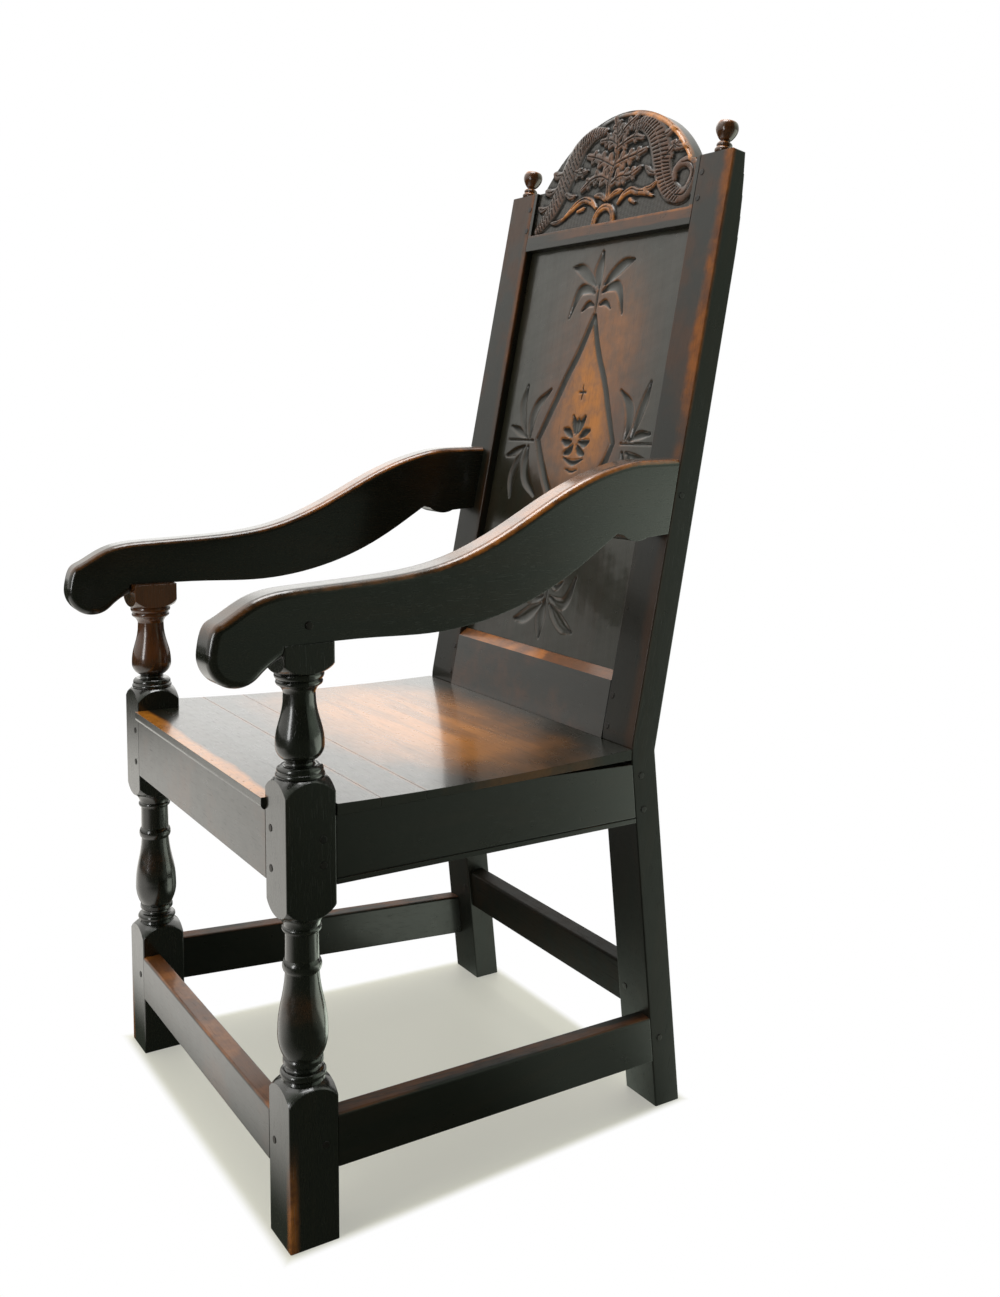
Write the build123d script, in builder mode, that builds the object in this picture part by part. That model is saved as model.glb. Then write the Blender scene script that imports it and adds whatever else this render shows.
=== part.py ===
from build123d import *
from math import atan, cos, radians, sin, tan
import os

# A joined oak armchair of the wainscot kind: turned front legs that run on as arm
# supports, raked rear posts, a panelled back under an arched crest rail, board seat.
# Millimetres. X runs across the chair, with the sitter's left at +X; the chair faces -Y
# and stands on Z = 0. Right-hand pieces (seen from the front, +X) are modelled and
# the left-hand ones are their mirror images.

# ---------------------------------------------------------------- driving dimensions
# Plan
front_width = 508.0  # over the outer faces of the front legs
rear_width = 456.0  # over the outer faces of the rear posts
frame_depth = 418.0  # front of the legs to the front of the posts at the knee
leg_size = 51.0  # square of the front legs
post_width = 56.0  # rear posts, across the chair
arris_radius = 1.6  # worn corners of the squared timber

# Rear posts
knee_height = 425.0
foot_kick = 43.0  # how far the foot stands behind the knee
post_foot_depth = 34.0
post_knee_depth = 34.0
stile_rake = 11.3  # degrees that the back leans
stile_length = 678.0  # knee to stile top, measured up the back
stile_taper_length = 118.0  # the stile thins over this length to its top
stile_shoulder_depth = 29.0
stile_top_depth = 18.0
knee_radius = 110.0

# Rails and stretchers
seat_rail_top = 420.0
seat_rail_bottom = 353.0
rail_thickness = 23.0
side_rail_fall = 12.0  # the side rails drop this much to the rear
side_rail_carry = 284.0  # from the front, as far as a side rail carries the boards
seat_fall = 6.0  # the boards drop this much to the rear
bead_height = 5.0  # scratched bead on the lower edge of the side rails
bead_groove = 1.6
rear_rail_height = 66.0
stretcher_thickness = 22.0
front_stretcher_bottom = 71.0
front_stretcher_height = 52.0
side_stretcher_bottom = 73.0
side_stretcher_height = 53.0
side_stretcher_fall = 17.0
rear_stretcher_bottom = 106.0
rear_stretcher_height = 49.0
rear_stretcher_setback = 4.0
worn_edge = 3.0  # rounded upper arrises of the stretchers

# Joints
tenon_thickness = 9.0
tenon_setback = 7.0  # from the face of the rail
tenon_shoulder = 9.0  # above and below the tenon
leg_tenon_length = 27.0
post_tenon_length = 24.0
stile_tenon_length = 22.0
arm_tenon_length = 20.0
fit = 0.1  # clearance of joints and pegs
blind_depth = 1.0  # space beyond the end of a tenon

# Pegs
peg_diameter = 7.0
peg_length = 30.0
back_peg_length = 19.0  # in the thinner pieces of the back
peg_proud = 0.5
rail_peg_inset = 14.0  # from the edges of a seat rail
stretcher_peg_rise = 26.0  # above the underside of a stretcher
crest_peg_inset = 12.0  # from the edges of the crest tenon

# Back
back_rail_top = 68.0  # up the back, where the sloped arris under the panel starts
back_rail_thickness = 27.0
crest_shoulder = 80.0  # height of the crest rail against the stiles
crest_thickness = 23.0
crest_band = 21.0  # plain band under the carved field
crest_arch_rise = 83.0  # arch above the stile tops
crest_arch_half_width = 154.0
ground_depth = 4.0  # carved ground below the face of the crest
ground_margin = 6.0  # uncut wood beside the stiles
panel_recess = 11.0  # face of the panel behind the face of the stiles
panel_thickness = 10.0
panel_tongue = 5.0  # feathered edge of the panel
panel_feather = 24.0
groove_depth = 8.0

# Seat boards
seat_thickness = 12.0
seat_overhang = 1.5  # past the faces of the side rails
seat_nosing = 4.0  # past the face of the front rail
nosing_radius = 5.0
seat_hollow = 4.0  # worn out of the middle of the boards
front_board_edge = 98.0  # seam behind the front board
middle_board_edge = 150.0  # seam behind the middle board
board_seam = 0.5
seat_tongue = 14.0  # part of the rear board under the back rail
notch = 0.3  # clearance of boards and arms beside legs and posts

# Arms
arm_height = 585.0  # underside of the arm on the leg
arm_width = 36.0
arm_edge_radius = 8.0
arm_depth_front = 57.0
arm_rise = 78.0  # underside, from the leg to the stile
arm_depth_rear = 83.0
scroll_radius = 29.5
scroll_reach = 42.5  # scroll centre in front of the leg
scroll_drop = 5.0  # scroll centre below the underside of the arm
scroll_gap = 11.0  # the scroll closes on the leg this far below the arm
scroll_start = 172.0  # degrees round the scroll, from the rear of the chair
scroll_end = 314.0
support_tenon_diameter = 16.0
support_tenon_length = 34.0

# Turnings of the front leg: how far its squares reach, and radii of the turned work
foot_square_rise = 14.0  # square above the front stretcher
rail_square_drop = 8.0  # square below the seat rails
rail_square_rise = 17.0  # square above the seat rails
arm_square_height = 12.0  # square under the arm
square_round = 22.0  # height over which the corners of a square are turned away
bead_radius = 22.0
vase_radius = 24.0
neck_radius = 15.5
reel_radius = 12.5

# Finials
finial_height = 37.0
finial_radius = 13.0
finial_dowel_diameter = 8.0
finial_dowel_length = 20.0

# ---------------------------------------------------------------- derived geometry
rake = radians(stile_rake)
kick = atan(foot_kick / knee_height)
leg_x = (front_width - leg_size) / 2
leg_y = leg_size / 2
between_legs = front_width / 2 - leg_size
between_posts = rear_width / 2 - post_width
side_taper = (front_width - rear_width) / 2
tenon_band = (tenon_setback, tenon_setback + tenon_thickness)
front_stretcher_top = front_stretcher_bottom + front_stretcher_height
side_stretcher_top = side_stretcher_bottom + side_stretcher_height
foot_square_top = front_stretcher_top + foot_square_rise
middle_square_bottom = seat_rail_bottom - rail_square_drop
middle_square_top = seat_rail_top + rail_square_rise
arm_square_bottom = arm_height - arm_square_height
arm_rear_bottom = arm_height + arm_rise
arm_rear_top = arm_rear_bottom + arm_depth_rear
stile_taper_start = stile_length - stile_taper_length
crest_bottom = stile_length - crest_shoulder

# Face of the back above the knee: x across, y up the back, z towards the sitter
back_plane = Plane(
    origin=(0, frame_depth, knee_height), x_dir=(1, 0, 0), z_dir=(0, -cos(rake), sin(rake))
)
# Face of the posts below the knee, laid out the same way
kick_plane = Plane(
    origin=(0, frame_depth, knee_height), x_dir=(1, 0, 0), z_dir=(0, -cos(kick), -sin(kick))
)
# Underside of the seat boards: x across, y to the rear
seat_slope = atan(seat_fall / frame_depth)
seat_plane = Plane(
    origin=(0, 0, seat_rail_top), x_dir=(1, 0, 0), z_dir=(0, sin(seat_slope), cos(seat_slope))
)
seat_top_plane = seat_plane.offset(seat_thickness)


def seat_underside(y):
    """Height of the underside of the boards at a distance from the front."""
    return seat_rail_top - y * tan(seat_slope)


def post_front(z):
    """Front face of a post below the knee, at a height."""
    return frame_depth + (knee_height - z) * tan(kick)


def stile_front(z):
    """Front face of a stile above the knee, at a height."""
    return frame_depth + (z - knee_height) * tan(rake)


def up_back(distance, behind=0.0):
    """(y, z) of a point up the back and behind its face."""
    point = back_plane.from_local_coords((0, distance, -behind))
    return (point.Y, point.Z)


def block(x_span, y_span, z_span, mode=Mode.ADD):
    """A squared block between two corners, added to or cut from the part in hand."""
    spans = (x_span, y_span, z_span)
    centre = tuple((low + high) / 2 for low, high in spans)
    size = [high - low for low, high in spans]
    with Locations(centre):
        Box(*size, mode=mode)


def block_on(plane, x_span, y_span, z_span, mode=Mode.ADD):
    """The same on a sloping plane."""
    spans = (x_span, y_span, z_span)
    centre = tuple((low + high) / 2 for low, high in spans)
    size = [high - low for low, high in spans]
    with Locations(Location(plane) * Location(centre)):
        Box(*size, mode=mode)


def grown(span, amount=fit):
    """A span with clearance at both ends."""
    return (span[0] - amount, span[1] + amount)


def mirrored(span):
    """A span on the other side of the chair."""
    return (-span[1], -span[0])


def drill(pegs, length=peg_length):
    """Bore the holes of the given pegs."""
    for plane in pegs:
        with Locations(Location(plane)):
            Cylinder(
                radius=peg_diameter / 2 + fit,
                height=2 * (length + peg_proud + blind_depth),
                mode=Mode.SUBTRACT,
            )


def drive(pegs, length=peg_length):
    """Riven pegs, their heads a little proud of the wood."""
    for plane in pegs:
        with Locations(Location(plane)):
            Cylinder(
                radius=peg_diameter / 2,
                height=length + peg_proud,
                align=(Align.CENTER, Align.CENTER, Align.MAX),
            )


def peg(x, y, z, outward):
    """Plane of a peg's head, proud of the face that it is driven into."""
    return Plane(origin=(x, y, z), z_dir=outward).offset(peg_proud)


def peg_on(plane, x, y):
    """Plane of a peg's head on a sloping face."""
    return Plane(origin=plane.from_local_coords((x, y, 0)), z_dir=plane.z_dir).offset(peg_proud)


def both_sides(pegs):
    """The given pegs and their mirror images."""
    other = [
        Plane(
            origin=(-plane.origin.X, plane.origin.Y, plane.origin.Z),
            z_dir=(-plane.z_dir.X, plane.z_dir.Y, plane.z_dir.Z),
        )
        for plane in pegs
    ]
    return list(pegs) + other


# ---------------------------------------------------------------- joints
# Each tenon is a block (x, y, z spans); its mortise is the same block with clearance.
front_tenon_x = (between_legs, between_legs + leg_tenon_length)
front_rail_tenon = (
    front_tenon_x,
    tenon_band,
    (seat_rail_bottom + tenon_shoulder, seat_rail_top - tenon_shoulder),
)
front_stretcher_tenon = (
    front_tenon_x,
    tenon_band,
    (front_stretcher_bottom + tenon_shoulder, front_stretcher_top - tenon_shoulder),
)

side_face = front_width / 2
post_face = rear_width / 2
side_front_x = (side_face - tenon_band[1], side_face - tenon_band[0])
side_rear_x = (post_face - tenon_band[1], post_face - tenon_band[0])
side_front_y = (leg_size - leg_tenon_length, leg_size + blind_depth)


def side_tenons(bottom, top, fall):
    """Front and rear tenon of a rail that falls to the rear between two heights."""
    rear_y = post_front(bottom - fall)
    front = (side_front_x, side_front_y, (bottom + tenon_shoulder, top - tenon_shoulder - fall / 8))
    rear = (
        side_rear_x,
        (rear_y - foot_kick / 4, post_front(top - fall) + post_tenon_length),
        (bottom - fall + tenon_shoulder, top - fall - tenon_shoulder),
    )
    return front, rear


side_rail_tenons = side_tenons(seat_rail_bottom, seat_rail_top, side_rail_fall)
side_stretcher_tenons = side_tenons(side_stretcher_bottom, side_stretcher_top, side_stretcher_fall)

# Across the back the tenons lie on the sloping planes
rear_tenon_x = (between_posts, between_posts + post_tenon_length)
rear_rail_top = seat_underside(frame_depth) - knee_height
rear_rail_tenon = (
    rear_tenon_x,
    (rear_rail_top - rear_rail_height + tenon_shoulder, rear_rail_top - tenon_shoulder),
    (-tenon_band[1], -tenon_band[0]),
)
rear_stretcher_low = (rear_stretcher_bottom - knee_height) / cos(kick)
rear_stretcher_tenon = (
    rear_tenon_x,
    (
        rear_stretcher_low + tenon_shoulder,
        rear_stretcher_low + rear_stretcher_height - tenon_shoulder,
    ),
    (-rear_stretcher_setback - tenon_band[1], -rear_stretcher_setback - tenon_band[0]),
)
stile_tenon_x = (between_posts, between_posts + stile_tenon_length)
back_rail_bottom = seat_underside(frame_depth) + seat_thickness - knee_height
back_rail_tenon = (
    stile_tenon_x,
    (back_rail_bottom + tenon_shoulder, back_rail_top - tenon_shoulder),
    (-tenon_band[1], -tenon_band[0]),
)
crest_tenon = (
    stile_tenon_x,
    (crest_bottom + groove_depth + tenon_shoulder, stile_length - tenon_shoulder),
    (-tenon_band[1], -tenon_band[0]),
)
groove_band = (-panel_recess - panel_tongue, -panel_recess)
back_rail_shoulder = back_rail_top + panel_recess  # top of the rail behind its sloped arris

# Arms: set to the taper of the chair, their outer faces flush with leg and stile
arm_run = stile_front((arm_rear_top + arm_rear_bottom) / 2)
arm_angle = atan(side_taper / arm_run)
arm_plane = Plane(
    origin=(side_face, 0, 0),
    x_dir=(-sin(arm_angle), cos(arm_angle), 0),
    z_dir=(cos(arm_angle), sin(arm_angle), 0),
)
arm_tenon_height = (arm_rear_top - arm_rear_bottom) / 2
arm_tenon_middle = (arm_rear_top + arm_rear_bottom) / 2
arm_tenon_centre = post_face - arm_width / 2
arm_tenon = (
    (arm_tenon_centre - tenon_thickness / 2, arm_tenon_centre + tenon_thickness / 2),
    (
        stile_front(arm_tenon_middle) - arm_tenon_length,
        stile_front(arm_tenon_middle) + arm_tenon_length,
    ),
    (arm_tenon_middle - arm_tenon_height / 2, arm_tenon_middle + arm_tenon_height / 2),
)

# ---------------------------------------------------------------- peg places
front_peg_x = between_legs + leg_tenon_length / 2
rail_peg_low = seat_rail_bottom + rail_peg_inset
rail_peg_high = seat_rail_top - rail_peg_inset
side_peg_y = leg_size - leg_tenon_length / 2
front_facing = (0, -1, 0)
outward = (1, 0, 0)

front_rail_pegs = [
    peg(front_peg_x, 0, rail_peg_low, front_facing),
    peg(front_peg_x, 0, rail_peg_high, front_facing),
]
side_rail_front_pegs = [
    peg(side_face, side_peg_y, rail_peg_low + peg_diameter, outward),
    peg(side_face, side_peg_y, rail_peg_high - peg_diameter, outward),
]
side_rail_rear_pegs = [
    peg(post_face, post_front(height) + post_tenon_length / 2, height, outward)
    for height in (rail_peg_low - side_rail_fall, rail_peg_high - side_rail_fall)
]
rear_rail_pegs = [
    peg_on(kick_plane, between_posts + post_tenon_length / 2, height)
    for height in (
        rear_rail_top - rear_rail_height + tenon_shoulder + peg_diameter,
        rear_rail_top - tenon_shoulder - peg_diameter,
    )
]
front_stretcher_pegs = [
    peg(front_peg_x, 0, front_stretcher_bottom + stretcher_peg_rise, front_facing)
]
side_stretcher_front_pegs = [
    peg(side_face, side_peg_y, side_stretcher_bottom + stretcher_peg_rise, outward)
]
side_stretcher_rear_height = side_stretcher_bottom - side_stretcher_fall + stretcher_peg_rise
side_stretcher_rear_pegs = [
    peg(
        post_face,
        post_front(side_stretcher_rear_height) + post_tenon_length / 2,
        side_stretcher_rear_height,
        outward,
    )
]
rear_stretcher_pegs = [
    peg_on(
        kick_plane,
        between_posts + post_tenon_length / 2,
        rear_stretcher_low + rear_stretcher_height / 2,
    )
]
back_peg_x = between_posts + peg_diameter
back_rail_pegs = [
    peg_on(back_plane, back_peg_x, back_rail_bottom + tenon_shoulder + peg_diameter),
    peg_on(back_plane, back_peg_x, back_rail_top - tenon_shoulder - peg_diameter),
]
crest_pegs = [
    peg_on(back_plane, back_peg_x, crest_tenon[1][0] + crest_peg_inset),
    peg_on(back_plane, back_peg_x, crest_tenon[1][1] - crest_peg_inset),
]
arm_support_pegs = [
    peg(side_face, leg_y, arm_height + support_tenon_length / 2, outward)
]
arm_stile_pegs = [
    peg(
        post_face,
        stile_front(arm_tenon_middle) + arm_tenon_length / 2,
        arm_tenon_middle,
        outward,
    )
]

# ---------------------------------------------------------------- front legs
# One lathe profile from foot to tenon; where it swells past the corners of the square the
# timber stays square, and where it closes in the corners are turned to the round.
uncut = leg_size * 0.75
shoulder_top = foot_square_top + square_round
lower_square_end = middle_square_bottom - square_round
upper_shoulder = middle_square_top + square_round * 0.85
arm_square_end = arm_square_bottom - square_round * 0.75


def lower_turning(share):
    """Height at a share of the turning between foot and seat."""
    return shoulder_top + share * (lower_square_end - shoulder_top)


def upper_turning(share):
    """Height at a share of the turning between seat and arm."""
    return upper_shoulder + share * (arm_square_end - upper_shoulder)


with BuildPart() as front_leg_right:
    with BuildSketch(Plane.XY) as leg_square:
        with Locations((leg_x, leg_y)):
            Rectangle(leg_size, leg_size)
        fillet(leg_square.vertices(), radius=arris_radius)
    extrude(amount=arm_height + support_tenon_length)
    with BuildSketch(Plane((leg_x, leg_y, 0), x_dir=(1, 0, 0), z_dir=(0, -1, 0))):
        with BuildLine():
            foot = Line((0, 0), (uncut, 0))
            foot_side = Line(foot @ 1, (uncut, foot_square_top))
            # lower turning: shoulder, bead, cove, long baluster, collar, neck, ring, flare
            foot_shoulder = ThreePointArc(
                foot_side @ 1,
                (uncut * 0.86, foot_square_top + square_round * 0.55),
                (bead_radius - 1, shoulder_top),
            )
            foot_quirk = Line(foot_shoulder @ 1, (bead_radius - 2, lower_turning(0.015)))
            foot_bead = ThreePointArc(
                foot_quirk @ 1,
                (bead_radius + 0.5, lower_turning(0.04)),
                (bead_radius - 3, lower_turning(0.065)),
            )
            foot_cove = ThreePointArc(
                foot_bead @ 1,
                (neck_radius + 0.5, lower_turning(0.085)),
                (bead_radius - 2.5, lower_turning(0.105)),
            )
            foot_fillet = Line(foot_cove @ 1, (bead_radius - 2.5, lower_turning(0.13)))
            baluster_foot = Line(foot_fillet @ 1, (bead_radius - 3.5, lower_turning(0.14)))
            baluster_belly = ThreePointArc(
                baluster_foot @ 1,
                (vase_radius - 1.4, lower_turning(0.2)),
                (vase_radius + 0.2, lower_turning(0.3)),
            )
            baluster = Bezier(
                baluster_belly @ 1,
                (vase_radius + 0.2, lower_turning(0.44)),
                (neck_radius + 2.2, lower_turning(0.5)),
                (neck_radius + 0.8, lower_turning(0.65)),
            )
            collar_step = Line(baluster @ 1, (neck_radius + 2.0, lower_turning(0.658)))
            collar = ThreePointArc(
                collar_step @ 1,
                (neck_radius + 3.5, lower_turning(0.69)),
                (neck_radius + 1, lower_turning(0.73)),
            )
            neck = Line(collar @ 1, (neck_radius + 0.7, lower_turning(0.89)))
            ring_step = Line(neck @ 1, (neck_radius + 2.6, lower_turning(0.9)))
            ring = ThreePointArc(
                ring_step @ 1,
                (neck_radius + 3.6, lower_turning(0.915)),
                (neck_radius + 2.2, lower_turning(0.93)),
            )
            flare = ThreePointArc(
                ring @ 1,
                (neck_radius + 4, lower_turning(0.965)),
                (vase_radius, lower_square_end),
            )
            flare_step = Line(flare @ 1, (vase_radius + 1.5, lower_square_end))
            under_square = ThreePointArc(
                flare_step @ 1,
                (uncut * 0.92, middle_square_bottom - square_round * 0.5),
                (uncut, middle_square_bottom),
            )
            # square at the seat, then the upper turning: two rings, reel, vase, bell and two beads
            seat_square = Line(under_square @ 1, (uncut, middle_square_top))
            seat_shoulder = ThreePointArc(
                seat_square @ 1,
                (uncut * 0.85, middle_square_top + square_round * 0.45),
                (vase_radius, upper_shoulder),
            )
            shoulder_step = Line(seat_shoulder @ 1, (vase_radius - 1.5, upper_shoulder))
            low_ring = ThreePointArc(
                shoulder_step @ 1,
                (vase_radius - 0.5, upper_turning(0.025)),
                (vase_radius - 2, upper_turning(0.05)),
            )
            high_ring = ThreePointArc(
                low_ring @ 1,
                (vase_radius - 2, upper_turning(0.085)),
                (reel_radius + 3, upper_turning(0.115)),
            )
            reel = ThreePointArc(
                high_ring @ 1,
                (reel_radius + 1, upper_turning(0.14)),
                (reel_radius + 3, upper_turning(0.165)),
            )
            vase_foot = ThreePointArc(
                reel @ 1,
                (vase_radius - 2.8, upper_turning(0.22)),
                (vase_radius - 0.6, upper_turning(0.31)),
            )
            vase = Bezier(
                vase_foot @ 1,
                (vase_radius - 0.4, upper_turning(0.5)),
                (neck_radius - 0.2, upper_turning(0.56)),
                (neck_radius - 0.2, upper_turning(0.8)),
            )
            bell = ThreePointArc(
                vase @ 1,
                (neck_radius + 1.6, upper_turning(0.84)),
                (bead_radius - 2, upper_turning(0.87)),
            )
            under_bead = ThreePointArc(
                bell @ 1,
                (bead_radius + 0.2, upper_turning(0.895)),
                (bead_radius - 1, upper_turning(0.925)),
            )
            abacus = ThreePointArc(
                under_bead @ 1,
                (bead_radius + 1.4, upper_turning(0.955)),
                (bead_radius + 0.4, arm_square_end),
            )
            abacus_step = Line(abacus @ 1, (vase_radius + 1, arm_square_end))
            under_arm_square = ThreePointArc(
                abacus_step @ 1,
                (uncut * 0.9, arm_square_bottom - square_round * 0.4),
                (uncut, arm_square_bottom),
            )
            # square under the arm and the round tenon that enters it
            tenon_top = arm_height + support_tenon_length
            Polyline(
                under_arm_square @ 1,
                (uncut, arm_height),
                (support_tenon_diameter / 2, arm_height),
                (support_tenon_diameter / 2, tenon_top),
                (0, tenon_top),
                (0, 0),
            )
        make_face()
    revolve(axis=Axis((leg_x, leg_y, 0), (0, 0, 1)), mode=Mode.INTERSECT)
    block(*[grown(span) for span in front_rail_tenon], mode=Mode.SUBTRACT)
    block(*[grown(span) for span in front_stretcher_tenon], mode=Mode.SUBTRACT)
    block(*[grown(span) for span in side_rail_tenons[0]], mode=Mode.SUBTRACT)
    block(*[grown(span) for span in side_stretcher_tenons[0]], mode=Mode.SUBTRACT)
    drill(front_rail_pegs + front_stretcher_pegs)
    drill(side_rail_front_pegs + side_stretcher_front_pegs)
    drill(arm_support_pegs)
with BuildPart() as front_leg_left:
    mirror(front_leg_right.part, about=Plane.YZ)

# ---------------------------------------------------------------- rear posts
knee_back = (up_back(0)[0] + post_knee_depth, knee_height - post_knee_depth * tan((rake + kick) / 2))
stile_top_front = up_back(stile_length)
stile_top_back = up_back(stile_length, stile_top_depth)
taper_back = up_back(stile_taper_start, stile_shoulder_depth)
taper_bulge = up_back(
    (stile_taper_start + stile_length) / 2, stile_shoulder_depth * 0.72 + stile_top_depth * 0.28
)
with BuildPart() as rear_post_right:
    with BuildSketch(Plane.YZ.offset(between_posts)):
        with BuildLine():
            FilletPolyline(
                (post_front(0), 0), (frame_depth, knee_height), stile_top_front, radius=knee_radius
            )
            Line(stile_top_front, stile_top_back)
            ThreePointArc(stile_top_back, taper_bulge, taper_back)
            Line(taper_back, knee_back)
            Line(knee_back, (post_front(0) + post_foot_depth, 0))
            Line((post_front(0) + post_foot_depth, 0), (post_front(0), 0))
        make_face()
    extrude(amount=post_width)
    long_edges = rear_post_right.faces().filter_by(Axis.X).edges()
    fillet([edge for edge in long_edges if edge.center().Z > arris_radius], radius=arris_radius)
    block(*[grown(span) for span in side_rail_tenons[1]], mode=Mode.SUBTRACT)
    block(*[grown(span) for span in side_stretcher_tenons[1]], mode=Mode.SUBTRACT)
    block(*[grown(span) for span in arm_tenon], mode=Mode.SUBTRACT)
    block_on(kick_plane, *[grown(span) for span in rear_rail_tenon], mode=Mode.SUBTRACT)
    block_on(kick_plane, *[grown(span) for span in rear_stretcher_tenon], mode=Mode.SUBTRACT)
    block_on(back_plane, *[grown(span) for span in back_rail_tenon], mode=Mode.SUBTRACT)
    block_on(back_plane, *[grown(span) for span in crest_tenon], mode=Mode.SUBTRACT)
    block_on(
        back_plane,
        (between_posts - groove_depth, between_posts + groove_depth),
        (back_rail_shoulder - groove_depth, crest_bottom + groove_depth),
        grown(groove_band),
        mode=Mode.SUBTRACT,
    )
    drill(side_rail_rear_pegs + side_stretcher_rear_pegs + arm_stile_pegs)
    drill(rear_rail_pegs + rear_stretcher_pegs)
    drill(back_rail_pegs + crest_pegs, length=back_peg_length)
    with Locations(
        Location(back_plane)
        * Location((between_posts + post_width / 2, stile_length, -stile_top_depth / 2), (-90, 0, 0))
    ):
        Cylinder(
            radius=finial_dowel_diameter / 2 + fit,
            height=2 * (finial_dowel_length + blind_depth),
            mode=Mode.SUBTRACT,
        )
with BuildPart() as rear_post_left:
    mirror(rear_post_right.part, about=Plane.YZ)

# ---------------------------------------------------------------- rails across the front
with BuildPart() as front_seat_rail:
    block(
        (-between_legs, between_legs), (0, rail_thickness), (seat_rail_bottom, seat_rail_top)
    )
    split(bisect_by=seat_plane, keep=Keep.BOTTOM)
    for side in (front_rail_tenon[0], mirrored(front_rail_tenon[0])):
        block(side, *front_rail_tenon[1:])
    drill(both_sides(front_rail_pegs))

with BuildPart() as front_stretcher:
    block(
        (-between_legs, between_legs),
        (0, stretcher_thickness),
        (front_stretcher_bottom, front_stretcher_top),
    )
    upper = front_stretcher.edges().filter_by(Axis.X).group_by(Axis.Z)[-1]
    fillet(upper, radius=worn_edge)
    for side in (front_stretcher_tenon[0], mirrored(front_stretcher_tenon[0])):
        block(side, *front_stretcher_tenon[1:])
    drill(both_sides(front_stretcher_pegs))


# ---------------------------------------------------------------- rails along the sides
def falling_side(front_low, front_high, fall):
    """Corners of a rail's side view: it falls to the rear, shoulder to shoulder."""
    low_rear = front_low - fall
    high_rear = front_high - fall
    return [
        (leg_size, front_low),
        (post_front(low_rear), low_rear),
        (post_front(high_rear), high_rear),
        (leg_size, front_high),
    ]


def side_plan(rear_y, thickness):
    """Corners of a side rail's plan: outer face flush with leg and post."""
    return [
        (side_face, leg_size),
        (post_face, rear_y),
        (post_face - thickness, rear_y),
        (side_face - thickness, leg_size),
    ]


rail_rear_y = post_front(seat_rail_bottom - side_rail_fall)
stretcher_rear_y = post_front(side_stretcher_bottom - side_stretcher_fall)
bead_low = seat_rail_bottom + bead_height
with BuildPart() as bead_cutter:
    with BuildSketch(Plane.YZ):
        with BuildLine():
            Polyline(*falling_side(bead_low, bead_low + bead_groove, side_rail_fall), close=True)
        make_face()
    extrude(amount=side_face)
    with BuildSketch(Plane.XY):
        with BuildLine():
            Polyline(*side_plan(rail_rear_y, bead_groove), close=True)
        make_face()
    extrude(amount=arm_height, mode=Mode.INTERSECT)

with BuildPart() as side_seat_rail_right:
    with BuildSketch(Plane.YZ):
        with BuildLine():
            low_rear = seat_rail_bottom - side_rail_fall
            high_rear = seat_rail_top - side_rail_fall
            Polyline(
                (leg_size, seat_rail_bottom),
                (post_front(low_rear), low_rear),
                (post_front(high_rear), high_rear),
                (side_rail_carry, seat_underside(side_rail_carry)),
                (leg_size, seat_underside(leg_size)),
                close=True,
            )
        make_face()
    extrude(amount=side_face)
    with BuildSketch(Plane.XY):
        with BuildLine():
            Polyline(*side_plan(rail_rear_y, rail_thickness), close=True)
        make_face()
    extrude(amount=arm_height, mode=Mode.INTERSECT)
    add(bead_cutter.part, mode=Mode.SUBTRACT)
    for tenon in side_rail_tenons:
        block(*tenon)
    drill(side_rail_front_pegs + side_rail_rear_pegs)
with BuildPart() as side_seat_rail_left:
    mirror(side_seat_rail_right.part, about=Plane.YZ)

with BuildPart() as side_stretcher_right:
    with BuildSketch(Plane.YZ):
        with BuildLine():
            Polyline(
                *falling_side(side_stretcher_bottom, side_stretcher_top, side_stretcher_fall),
                close=True,
            )
        make_face()
    extrude(amount=side_face)
    with BuildSketch(Plane.XY):
        with BuildLine():
            Polyline(*side_plan(stretcher_rear_y, stretcher_thickness), close=True)
        make_face()
    extrude(amount=arm_height, mode=Mode.INTERSECT)
    top_face = side_stretcher_right.faces().sort_by(Axis.Z)[-1]
    along = [edge for edge in top_face.edges() if edge.length > frame_depth / 2]
    fillet(along, radius=worn_edge)
    for tenon in side_stretcher_tenons:
        block(*tenon)
    drill(side_stretcher_front_pegs + side_stretcher_rear_pegs)
with BuildPart() as side_stretcher_left:
    mirror(side_stretcher_right.part, about=Plane.YZ)

# ---------------------------------------------------------------- rails across the rear
across_back = (-between_posts, between_posts)
with BuildPart() as rear_seat_rail:
    block_on(
        kick_plane,
        across_back,
        (rear_rail_top - rear_rail_height, rear_rail_top + seat_fall),
        (-rail_thickness, 0),
    )
    split(bisect_by=seat_plane, keep=Keep.BOTTOM)
    for side in (rear_rail_tenon[0], mirrored(rear_rail_tenon[0])):
        block_on(kick_plane, side, *rear_rail_tenon[1:])
    drill(both_sides(rear_rail_pegs))

with BuildPart() as rear_stretcher:
    block_on(
        kick_plane,
        across_back,
        (rear_stretcher_low, rear_stretcher_low + rear_stretcher_height),
        (-rear_stretcher_setback - stretcher_thickness, -rear_stretcher_setback),
    )
    upper = rear_stretcher.edges().filter_by(Axis.X).sort_by(Axis.Z)[-2:]
    fillet(upper, radius=worn_edge)
    for side in (rear_stretcher_tenon[0], mirrored(rear_stretcher_tenon[0])):
        block_on(kick_plane, side, *rear_stretcher_tenon[1:])
    drill(both_sides(rear_stretcher_pegs))

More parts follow.
